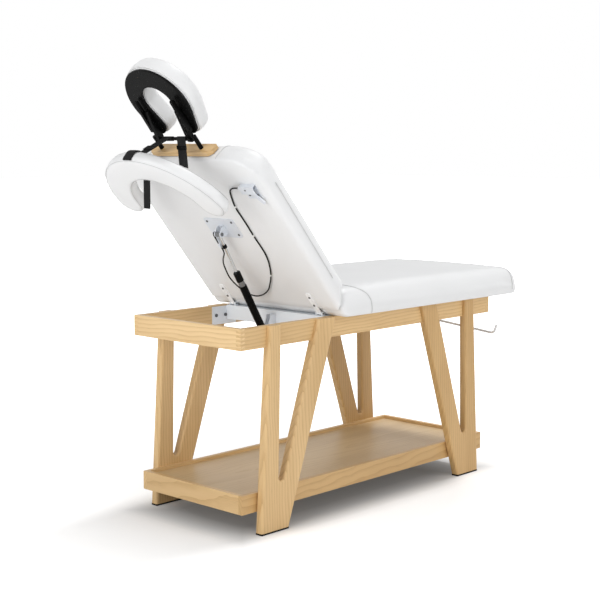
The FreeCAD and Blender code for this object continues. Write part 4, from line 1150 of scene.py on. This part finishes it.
@dataclass(frozen=True)
class Stuffing:
    """Foam under a sewn cover: cloth under pressure, held at its seams and where it is glued; in metres."""

    mesh_size: float
    reach: float
    pressure: float = 4.0
    stiffness: float = 25.0
    bending: float = 2.0
    seam_hold: float = 0.014
    frames: int = 20

    def fill(
        self, pad: bpy.types.Object, seams: Sequence[Sequence[Vector]], glued: Callable[[Vector], float]
    ) -> None:
        """Swells a pad between its seams and leaves the result in its mesh.

        Args:
            pad: the pad, a little smaller than it will be.
            seams: lines on its surface that stay where they are.
            glued: how firmly a point is fixed to the board below, from 0 to 1.
        """
        self.even_out(pad)
        self.hold(pad, seams, glued)
        cloth = pad.modifiers.new("stuffing", "CLOTH")
        cloth.settings.quality = 4
        cloth.settings.mass = 0.3
        cloth.settings.tension_stiffness = self.stiffness
        cloth.settings.compression_stiffness = self.stiffness
        cloth.settings.bending_stiffness = self.bending
        cloth.settings.use_pressure = True
        cloth.settings.uniform_pressure_force = self.pressure
        cloth.settings.vertex_group_mass = "held"
        cloth.settings.effector_weights.gravity = 0.0
        cloth.collision_settings.use_collision = False
        cloth.point_cache.frame_start = 1
        cloth.point_cache.frame_end = self.frames
        scene = bpy.context.scene
        for frame in range(1, self.frames + 1):
            scene.frame_set(frame)
        swollen = pad.evaluated_get(bpy.context.evaluated_depsgraph_get())
        spots = [vertex.co.copy() for vertex in swollen.data.vertices]
        pad.modifiers.remove(cloth)
        scene.frame_set(1)
        furthest = 0.0
        for vertex, spot in zip(pad.data.vertices, spots):
            step = spot - vertex.co
            furthest = max(furthest, step.length)
            vertex.co += step * (self.reach / (self.reach + step.length))
        log.info("pad %s swelled by %.1f mm at most, before its limit", pad.name, furthest / MM)
        rounding = pad.modifiers.new("cover", "SUBSURF")
        rounding.levels = 1
        rounding.render_levels = 1

    def even_out(self, pad: bpy.types.Object) -> None:
        """Gives a pad an even mesh of squares.

        Args:
            pad: the pad.
        """
        remesh = pad.modifiers.new("even_mesh", "REMESH")
        remesh.mode = "VOXEL"
        remesh.voxel_size = self.mesh_size
        remesh.use_smooth_shade = True
        graph = bpy.context.evaluated_depsgraph_get()
        even = bpy.data.meshes.new_from_object(pad.evaluated_get(graph))
        pad.modifiers.remove(remesh)
        old = pad.data
        pad.data = even
        bpy.data.meshes.remove(old)
        even.name = pad.name

    def hold(
        self, pad: bpy.types.Object, seams: Sequence[Sequence[Vector]], glued: Callable[[Vector], float]
    ) -> None:
        """Marks what stays in place.

        Args:
            pad: the pad, with its even mesh.
            seams: lines that stay in place.
            glued: how firmly a point is fixed, from 0 to 1.
        """
        spots = [spot for line in seams for spot in line]
        near = KDTree(max(1, len(spots)))
        for number, spot in enumerate(spots):
            near.insert(spot, number)
        near.balance()
        group = pad.vertex_groups.new(name="held")
        for vertex in pad.data.vertices:
            weight = glued(vertex.co)
            if spots:
                gap = near.find(vertex.co)[2]
                weight = max(weight, 1.0 - gap / self.seam_hold)
            group.add([vertex.index], min(1.0, max(0.0, weight)), "REPLACE")


@dataclass
class Sewing:
    """Seams and stitches laid on a pad's own surface."""

    pad: bpy.types.Object
    body: str
    palette: Palette
    tree: BVHTree = field(init=False)

    def __post_init__(self) -> None:
        """Reads the pad's surface."""
        shell = bmesh.new()
        shell.from_mesh(self.pad.data)
        self.tree = BVHTree.FromBMesh(shell)
        shell.free()

    def lay(self, plan: SeamPlan) -> list[Vector]:
        """A planned seam's points on the pad.

        Args:
            plan: the seam.

        Returns:
            The points.
        """
        if not plan.ways:
            return [self.tree.find_nearest(spot)[0] for spot in plan.points]
        hits = (self.tree.ray_cast(start, way) for start, way in zip(plan.points, plan.ways))
        return [hit[0] for hit in hits if hit[0] is not None]

    def settle(self, line: Sequence[Vector]) -> list[tuple[Vector, Vector]]:
        """The nearest surface points and normals of a line.

        Args:
            line: points near the surface.

        Returns:
            Each point with its normal.
        """
        found = []
        for spot in line:
            near, normal, _, _ = self.tree.find_nearest(spot)
            found.append((near, normal))
        return found

    def spread(self, line: Sequence[Vector], step: float, closed: bool) -> list[Vector]:
        """The same line at even steps.

        Args:
            line: the points.
            step: the distance between the new ones.
            closed: whether the line returns to its start.

        Returns:
            The new points.
        """
        spots = list(line) + ([line[0]] if closed else [])
        even = [spots[0].copy()]
        left = step
        for a, b in zip(spots, spots[1:]):
            length = (b - a).length
            done = 0.0
            while length - done >= left:
                done += left
                even.append(a.lerp(b, done / length))
                left = step
            left -= length - done
        return even

    def seam(self, name: str, line: Sequence[Vector], closed: bool = False, welt: float = 0.0011) -> None:
        """Lays a welt along a line with a row of stitches on each side.

        Args:
            name: the seam's name.
            line: points near the surface, in metres.
            closed: whether the line returns to its start.
            welt: the welt's radius.
        """
        even = self.spread(line, 0.006, closed)
        laid = [near + normal * (welt * 0.15) for near, normal in self.settle(even)]
        piece = tube(f"{name}_welt", laid, welt, closed)
        dress(piece, self.palette.seam)
        self.finish(piece)
        points: list[Vector] = []
        faces: list[list[int]] = []
        spots = self.settle(even)
        for i in range(1, len(spots) - 1):
            near, normal = spots[i]
            ahead = (spots[i + 1][0] - spots[i - 1][0]).normalized()
            side = normal.cross(ahead)
            for sign in (-1, 1):
                self.stitch(points, faces, near + side * (sign * 0.0042), normal, ahead, side)
        row = mesh_object(f"{name}_stitches", points, faces)
        dress(row, self.palette.thread)
        self.finish(row)

    @staticmethod
    def stitch(
        points: list[Vector],
        faces: list[list[int]],
        spot: Vector,
        normal: Vector,
        ahead: Vector,
        side: Vector,
    ) -> None:
        """Adds one stitch, a short arched thread, to the lists of points and faces.

        Args:
            points: the points so far.
            faces: the faces so far.
            spot: its middle.
            normal: away from the pad.
            ahead: along the seam.
            side: across the seam.
        """
        start = len(points)
        for share, lift in ((-1.0, -0.0002), (-0.4, 0.00045), (0.4, 0.00045), (1.0, -0.0002)):
            centre = spot + ahead * (share * 0.0021) + normal * lift
            for k in range(4):
                turn = math.pi / 4 + math.pi / 2 * k
                points.append(centre + (normal * math.cos(turn) + side * math.sin(turn)) * 0.00045)
        for i in range(3):
            for k in range(4):
                m = (k + 1) % 4
                a = start + i * 4
                faces.append([a + k, a + m, a + 4 + m, a + 4 + k])
        faces.append([start, start + 1, start + 2, start + 3])
        faces.append([start + 12, start + 13, start + 14, start + 15])

    def finish(self, piece: bpy.types.Object) -> None:
        """Makes a seam piece ride on the pad's body."""
        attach(piece, self.body)


def on_panel(length: float, side: float, rise: float) -> Vector:
    """A point of the backrest's frame in the row frame, in metres.

    Args:
        length: distance from the hinge axis toward the head, in millimetres.
        side: distance across, in millimetres.
        rise: height above the hinge axis with the backrest flat, in millimetres.

    Returns:
        The point at rest.
    """
    x, z = -length * MM, rise * MM
    ahead = x * math.cos(TILT) + z * math.sin(TILT)
    above = z * math.cos(TILT) - x * math.sin(TILT)
    return HINGE + Vector((ahead, side * MM, above))


@dataclass
class Upholstery:
    """The four stuffed pieces, their seams and their bodies."""

    palette: Palette
    back_first: float = 74.59
    back_last: float = 739.5
    back_sink: float = 1.4
    cradle_reach: float = 936.5
    cradle_rise: float = 58.86
    sling_lean: float = 39.4
    sling_centre: Point = (-773.66, 0.0, 1131.38)

    def build(self) -> None:
        """Makes every pad."""
        self.seat()
        self.back()
        self.cradle()
        self.sling()

    def finish(
        self,
        pad: bpy.types.Object,
        body: str,
        nodes: Sequence[str],
        fill: float,
        stuffing: Stuffing,
        plans: Sequence[SeamPlan],
        glued: Callable[[Vector], float],
    ) -> None:
        """Stuffs, dresses and sews a pad and gives it its place in the frame.

        Args:
            pad: the pad before it is stuffed.
            body: the body it rides on.
            nodes: the solids it stands for.
            fill: how tight it is, from 0 to 1; not used.
            stuffing: what swells it.
            plans: its seams.
            glued: how firmly a point is fixed to the board below.
        """
        before = Sewing(pad, body, self.palette)
        stuffing.fill(pad, [before.lay(plan) for plan in plans], glued)
        dress(pad, self.palette.of(Slot.VINYL))
        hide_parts(*nodes)
        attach(pad, body)
        sewing = Sewing(pad, body, self.palette)
        for plan in plans:
            sewing.seam(plan.name, sewing.lay(plan), plan.closed)
        log.info("pad %s on %s", pad.name, body)

    def seat(self) -> None:
        """The fixed seat pad with its end-panel seams."""
        form = LongPad(
            "seat_pad",
            length=SEAT_END - SEAT_START - 0.5,
            height=106.0,
            half_width=346.0,
            hinge_under=48.0,
            hinge_top=45.0,
            free_under=26.0,
            free_top=78.0,
            side_under=12.0,
            side_top=52.0,
            hinge_corner=24.0,
            free_corner=70.0,
            crown=6.0,
        )
        start = Vector((SEAT_START + ORIGIN_SHIFT, 0.0, RAIL_TOP))

        def place(spot: Vector) -> Vector:
            """A point of the pad's frame in the row frame."""
            return (start + spot) * MM

        pad = form.build(place)
        plans = []
        for label, sign in (("near", -1.0), ("far", 1.0)):
            line = []
            for i in range(19):
                turn = math.pi / 2 * i / 18
                line.append(Vector((8 + 150 * math.sin(turn), 0.0, 40 + 78 * math.cos(turn))))
            line += [Vector((158 + 7 * i / 8, 0.0, 40 - 36 * i / 8)) for i in range(1, 9)]
            rays = [(start + Vector((p.x, sign * 500.0, p.z))) * MM for p in line]
            plans.append(SeamPlan(f"seat_{label}_end", rays, [Vector((0.0, -sign, 0.0))] * len(rays)))
        place = form.length - 74.0
        starts = []
        ways = []
        for i in range(41):
            turn = math.pi * i / 40
            way = Vector((0.0, -math.cos(turn), math.sin(turn)))
            starts.append((start + Vector((place, way.y * 490.0, 20.0 + way.z * 200.0))) * MM)
            ways.append(-way)
        plans.append(SeamPlan("seat_foot_end", starts, ways))

        def glued(spot: Vector) -> float:
            """Firm at the seat board and in the crease at the hinge."""
            low = (RAIL_TOP + 26.0 - spot.z / MM) / 14.0
            crease = (start.x + 70.0 - spot.x / MM) / 45.0
            return max(low, crease)

        self.finish(pad, "frame", ("seat_cushion", "seat_board"), 0.95, Stuffing(0.009, 0.005), plans, glued)

    def back(self) -> None:
        """The backrest pad with its side and head seams."""
        form = LongPad(
            "back_pad",
            length=self.back_last - self.back_first - 3.0,
            height=96.0,
            half_width=346.0,
            hinge_under=12.0,
            hinge_top=16.0,
            free_under=9.0,
            free_top=44.0,
            side_under=26.0,
            side_top=50.0,
            hinge_corner=24.0,
            free_corner=126.0,
            crown=6.0,
            lip=54.0,
            lip_rise=54.0 / math.tan(TILT),
        )

        def place(spot: Vector) -> Vector:
            """A point of the pad's frame in the row frame."""
            return on_panel(self.back_first + spot.x, spot.y, spot.z - self.back_sink)

        pad = form.build(place)
        across = (on_panel(0.0, 1.0, 0.0) - on_panel(0.0, 0.0, 0.0)).normalized()
        inward = (on_panel(0.0, 0.0, 0.0) - on_panel(1.0, 0.0, 0.0)).normalized()
        plans = []
        for label, sign in (("near", -1.0), ("far", 1.0)):
            line = [150.0 + 450.0 * i / 60 for i in range(61)]
            rays = [on_panel(x, sign * 500.0, 42.0) for x in line]
            plans.append(SeamPlan(f"back_{label}_side", rays, [across * -sign] * len(rays)))
            rays = [on_panel(self.back_last + 200.0, sign * 178.0, 4.0 + 86.0 * i / 14) for i in range(15)]
            plans.append(SeamPlan(f"back_{label}_head", rays, [inward] * len(rays)))
        origin = on_panel(0.0, 0.0, 0.0)
        upward = (on_panel(0.0, 0.0, 1.0) - origin).normalized()

        def glued(spot: Vector) -> float:
            """Firm at the backrest board and along the lower lip."""
            low = (26.0 - (spot - origin).dot(upward) / MM) / 12.0
            lip = (self.back_first + 60.0 + (spot - origin).dot(inward) / MM) / 40.0
            return max(low, lip)

        nodes = ("backrest_cushion", "backrest_board")
        self.finish(pad, "backrest", nodes, 0.95, Stuffing(0.009, 0.005), plans, glued)

    def cradle(self) -> None:
        """The face cradle's horseshoe pad."""
        form = BandPad(
            "cradle_pad",
            outer=147.0,
            band=82.0,
            height=70.0,
            under=13.0,
            top=26.0,
            crown=6.0,
            sweep=math.radians(108.0),
            limb=65.0,
        )

        def place(spot: Vector) -> Vector:
            """A point of the pad's frame in the row frame."""
            return on_panel(self.cradle_reach - spot.x, spot.y, spot.z + self.cradle_rise)

        pad = form.build(place)
        floor = place(Vector())
        upward = (place(Vector((0.0, 0.0, 1.0))) - floor).normalized()

        def glued(spot: Vector) -> float:
            """Firm where it sits on its moulded ring."""
            return (20.0 - (spot - floor).dot(upward) / MM) / 14.0

        plans = [SeamPlan("cradle_lower", [place(p) for p in form.edge_line(False)], closed=True)]
        self.finish(pad, "face_cradle", ("cradle_cushion",), 0.85, Stuffing(0.005, 0.005), plans, glued)

    def sling(self) -> None:
        """The hanging arm pad."""
        form = BandPad(
            "sling_pad",
            outer=266.0,
            band=106.0,
            height=52.0,
            under=12.0,
            top=24.0,
            crown=6.0,
            sweep=math.radians(84.0),
            limb=0.0,
        )
        turn = Matrix.Rotation(math.radians(self.sling_lean), 3, "Y")
        base = Vector(self.sling_centre) + Vector((ORIGIN_SHIFT, 0.0, 0.0))

        def place(spot: Vector) -> Vector:
            """A point of the pad's frame in the row frame."""
            return (base + turn @ spot) * MM

        pad = form.build(place)
        belt = place(Vector((-form.middle, 0.0, form.height / 2)))

        def glued(spot: Vector) -> float:
            """Firm under the belt."""
            if (spot - belt).length >= 0.12:
                return 0.0
            return (60.0 - abs(spot.y - belt.y) / MM) / 30.0

        plans = [
            SeamPlan("sling_lower", [place(p) for p in form.edge_line(False)], closed=True),
            SeamPlan("sling_upper", [place(p) for p in form.edge_line(True)], closed=True),
        ]
        self.finish(pad, "sling", ("arm_sling",), 0.8, Stuffing(0.005, 0.004), plans, glued)


@dataclass
class Joinery:
    """The rigid nodes, which keep their shapes and take their finishes here."""

    palette: Palette
    nodes: dict[str, bpy.types.Object]
    record: dict
    fasteners: tuple[str, ...] = ("backrest_screws", "channel_bolts", "hinge_pins")
    straps: tuple[str, ...] = ("near_hinge_strap", "far_hinge_strap")
    bare_rod: str = "roll_rod"

    def build(self) -> None:
        """Dresses every node by its slot, and boards by the way their grain runs and by their tone of painted
        light and shade.
        """
        grain = {
            "head_rail": Grain.CROSSWISE,
            "foot_rail": Grain.CROSSWISE,
            "shelf_head_rim": Grain.CROSSWISE,
            "shelf_foot_rim": Grain.CROSSWISE,
            "head_board": Grain.CROSSWISE,
        }
        # Painted light and shade: the head rail, lit from the head end, gets paler timber; the foot legs and
        # the shelf's near rim, in shade, get darker timber.
        tone = {
            "head_rail": PaintedLightTone.LIGHT,
            "near_foot_leg": PaintedLightTone.DARK,
            "far_foot_leg": PaintedLightTone.DARK,
            "shelf_near_rim": PaintedLightTone.DARK,
        }
        for row in self.record["subparts"]:
            name = row["node"]
            slot = Slot(row["material_slot"])
            material = self.palette.of(slot)
            if slot is Slot.TIMBER:
                way = Grain.UPRIGHT if name.endswith("_leg") else grain.get(name, Grain.LENGTHWISE)
                material = self.palette.timber[way, tone.get(name, PaintedLightTone.MIDDLE)]
            # Fasteners take the darker steel of painted shade.
            if name in self.fasteners:
                material = self.palette.shaded_fastener
            # Hinge straps take the brighter enamel of painted light.
            if name in self.straps:
                material = self.palette.lit_strap
            if name == self.bare_rod:
                material = self.palette.rod
            dress(self.nodes[name], material)
            log.info("node %s in %s", name, material.name)


@dataclass
class Studio:
    """Floor, light and camera."""

    camera_place: Point = (-3.7514 + ORIGIN_SHIFT * MM, -3.4191, 1.3562)
    yaw: float = 46.6423
    pitch: float = 6.8127
    lens: float = 78.219
    floor_tone: float = 0.9
    floor_lift: float = 0.06
    wash_start: float = 0.55
    wash_end: float = 2.1
    # The painted shadow under the tray shelf: its footprint, its tone and its soft edge.
    shelf_half_length: float = 0.701
    shelf_half_width: float = 0.263
    painted_shadow_tone: float = 0.32
    painted_shadow_soft: float = 0.09

    def build(self) -> None:
        """Sets the stage."""
        self.floor()
        self.world()
        self.lamps()
        self.camera()
        bpy.context.scene.view_settings.view_transform = "Standard"

    def floor(self) -> None:
        """A plain pale floor that reads white to the camera and keeps the table's shadow, with a painted
        shadow under the tray shelf.
        """
        size = 40.0
        corners = [Vector((x * size, y * size, 0.0)) for x, y in ((-1, -1), (1, -1), (1, 1), (-1, 1))]
        floor = mesh_object("floor", corners, [[0, 1, 2, 3]], False)
        bench = Bench.open("pale_floor")
        bench.graph.feed(bench.shader, "Base Color", self.tone(bench))
        bench.shader.inputs["Roughness"].default_value = 0.9
        glow = bench.graph.add("ShaderNodeEmission")
        lift = bench.graph.add("ShaderNodeAddShader")
        path = bench.graph.add("ShaderNodeLightPath")
        away = bench.graph.add("ShaderNodeVectorMath", operation="LENGTH")
        bench.graph.feed(away, 0, bench.vector)
        wash = bench.graph.span(away.outputs["Value"], self.wash_start, self.wash_end, self.floor_lift, 1.0)
        bench.graph.feed(glow, "Strength", bench.graph.math("MULTIPLY", path.outputs["Is Camera Ray"], wash))
        bench.graph.feed(lift, 0, bench.shader.outputs[0])
        bench.graph.feed(lift, 1, glow.outputs[0])
        bench.graph.feed(bench.material.node_tree.nodes["Material Output"], "Surface", lift.outputs[0])
        dress(floor, bench.material)

    def tone(self, bench: Bench) -> bpy.types.NodeSocket:
        """The floor's tone, with a painted shadow under the tray shelf, where the table keeps the light out.

        Args:
            bench: the floor's material under way.

        Returns:
            The tone, as a value.
        """
        graph = bench.graph
        axes = graph.add("ShaderNodeSeparateXYZ")
        graph.feed(axes, 0, bench.vector)
        along = graph.math("ABSOLUTE", graph.math("SUBTRACT", axes.outputs["X"], ORIGIN_SHIFT * MM))
        across = graph.math("ABSOLUTE", axes.outputs["Y"])
        past_end = graph.math("SUBTRACT", along, self.shelf_half_length)
        past_side = graph.math("SUBTRACT", across, self.shelf_half_width)
        past = graph.math("MAXIMUM", past_end, past_side)
        # Painted shadow: the floor is coloured darker inside the tray shelf's footprint, softening over its
        # edge.
        return graph.span(past, -self.painted_shadow_soft, self.painted_shadow_soft, self.painted_shadow_tone, self.floor_tone)

    def world(self) -> None:
        """An even white surround."""
        world = bpy.data.worlds.new("surround")
        bpy.context.scene.world = world
        world.use_nodes = True
        graph = Graph(world.node_tree)
        background = world.node_tree.nodes["Background"]
        background.inputs["Color"].default_value = (1.0, 1.0, 1.0, 1.0)
        path = graph.add("ShaderNodeLightPath")
        seen = graph.math("MAXIMUM", path.outputs["Is Camera Ray"], path.outputs["Is Glossy Ray"])
        seen = graph.math("MAXIMUM", seen, path.outputs["Is Transmission Ray"])
        graph.feed(background, "Strength", graph.span(seen, 0.0, 1.0, 0.28, 1.0))

    def lamps(self) -> None:
        """A key from above the foot end, with broad fills from the near side and the head end."""
        sun = bpy.data.lights.new("key", "SUN")
        sun.energy = 1.6
        sun.angle = math.radians(11.0)
        key = bpy.data.objects.new("key", sun)
        key.rotation_euler = Vector((-0.46, 0.02, -0.86)).to_track_quat("-Z", "Y").to_euler()
        bpy.context.scene.collection.objects.link(key)
        aim = Vector((0.0, 0.0, 0.7))
        for name, energy, size, spot in (
            ("near_fill", 100.0, 4.0, Vector((0.8, -5.0, 2.4))),
            ("head_fill", 106.0, 3.0, Vector((-4.6, -0.4, 2.2))),
        ):
            area = bpy.data.lights.new(name, "AREA")
            area.energy = energy
            area.size = size
            fill = bpy.data.objects.new(name, area)
            fill.location = spot
            fill.rotation_euler = (aim - spot).to_track_quat("-Z", "Y").to_euler()
            bpy.context.scene.collection.objects.link(fill)

    def camera(self) -> None:
        """The photograph's viewpoint."""
        data = bpy.data.cameras.new("photo_view")
        data.lens = self.lens
        data.sensor_width = 36.0
        data.clip_end = 200.0
        camera = bpy.data.objects.new("photo_view", data)
        camera.location = self.camera_place
        camera.rotation_euler = (math.radians(90.0 - self.pitch), 0.0, math.radians(-self.yaw))
        bpy.context.scene.collection.objects.link(camera)
        bpy.context.scene.camera = camera


def main() -> None:
    """Builds the dressed table."""
    logging.basicConfig(level=logging.INFO, format="%(name)s %(message)s")
    for stray in list(bpy.data.objects):
        bpy.data.objects.remove(stray)
    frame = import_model()
    palette = Palette(Effects())
    palette.build()
    Joinery(palette, frame["nodes"], frame["record"]).build()
    Upholstery(palette).build()
    Studio().build()


if __name__ == "__main__":
    main()
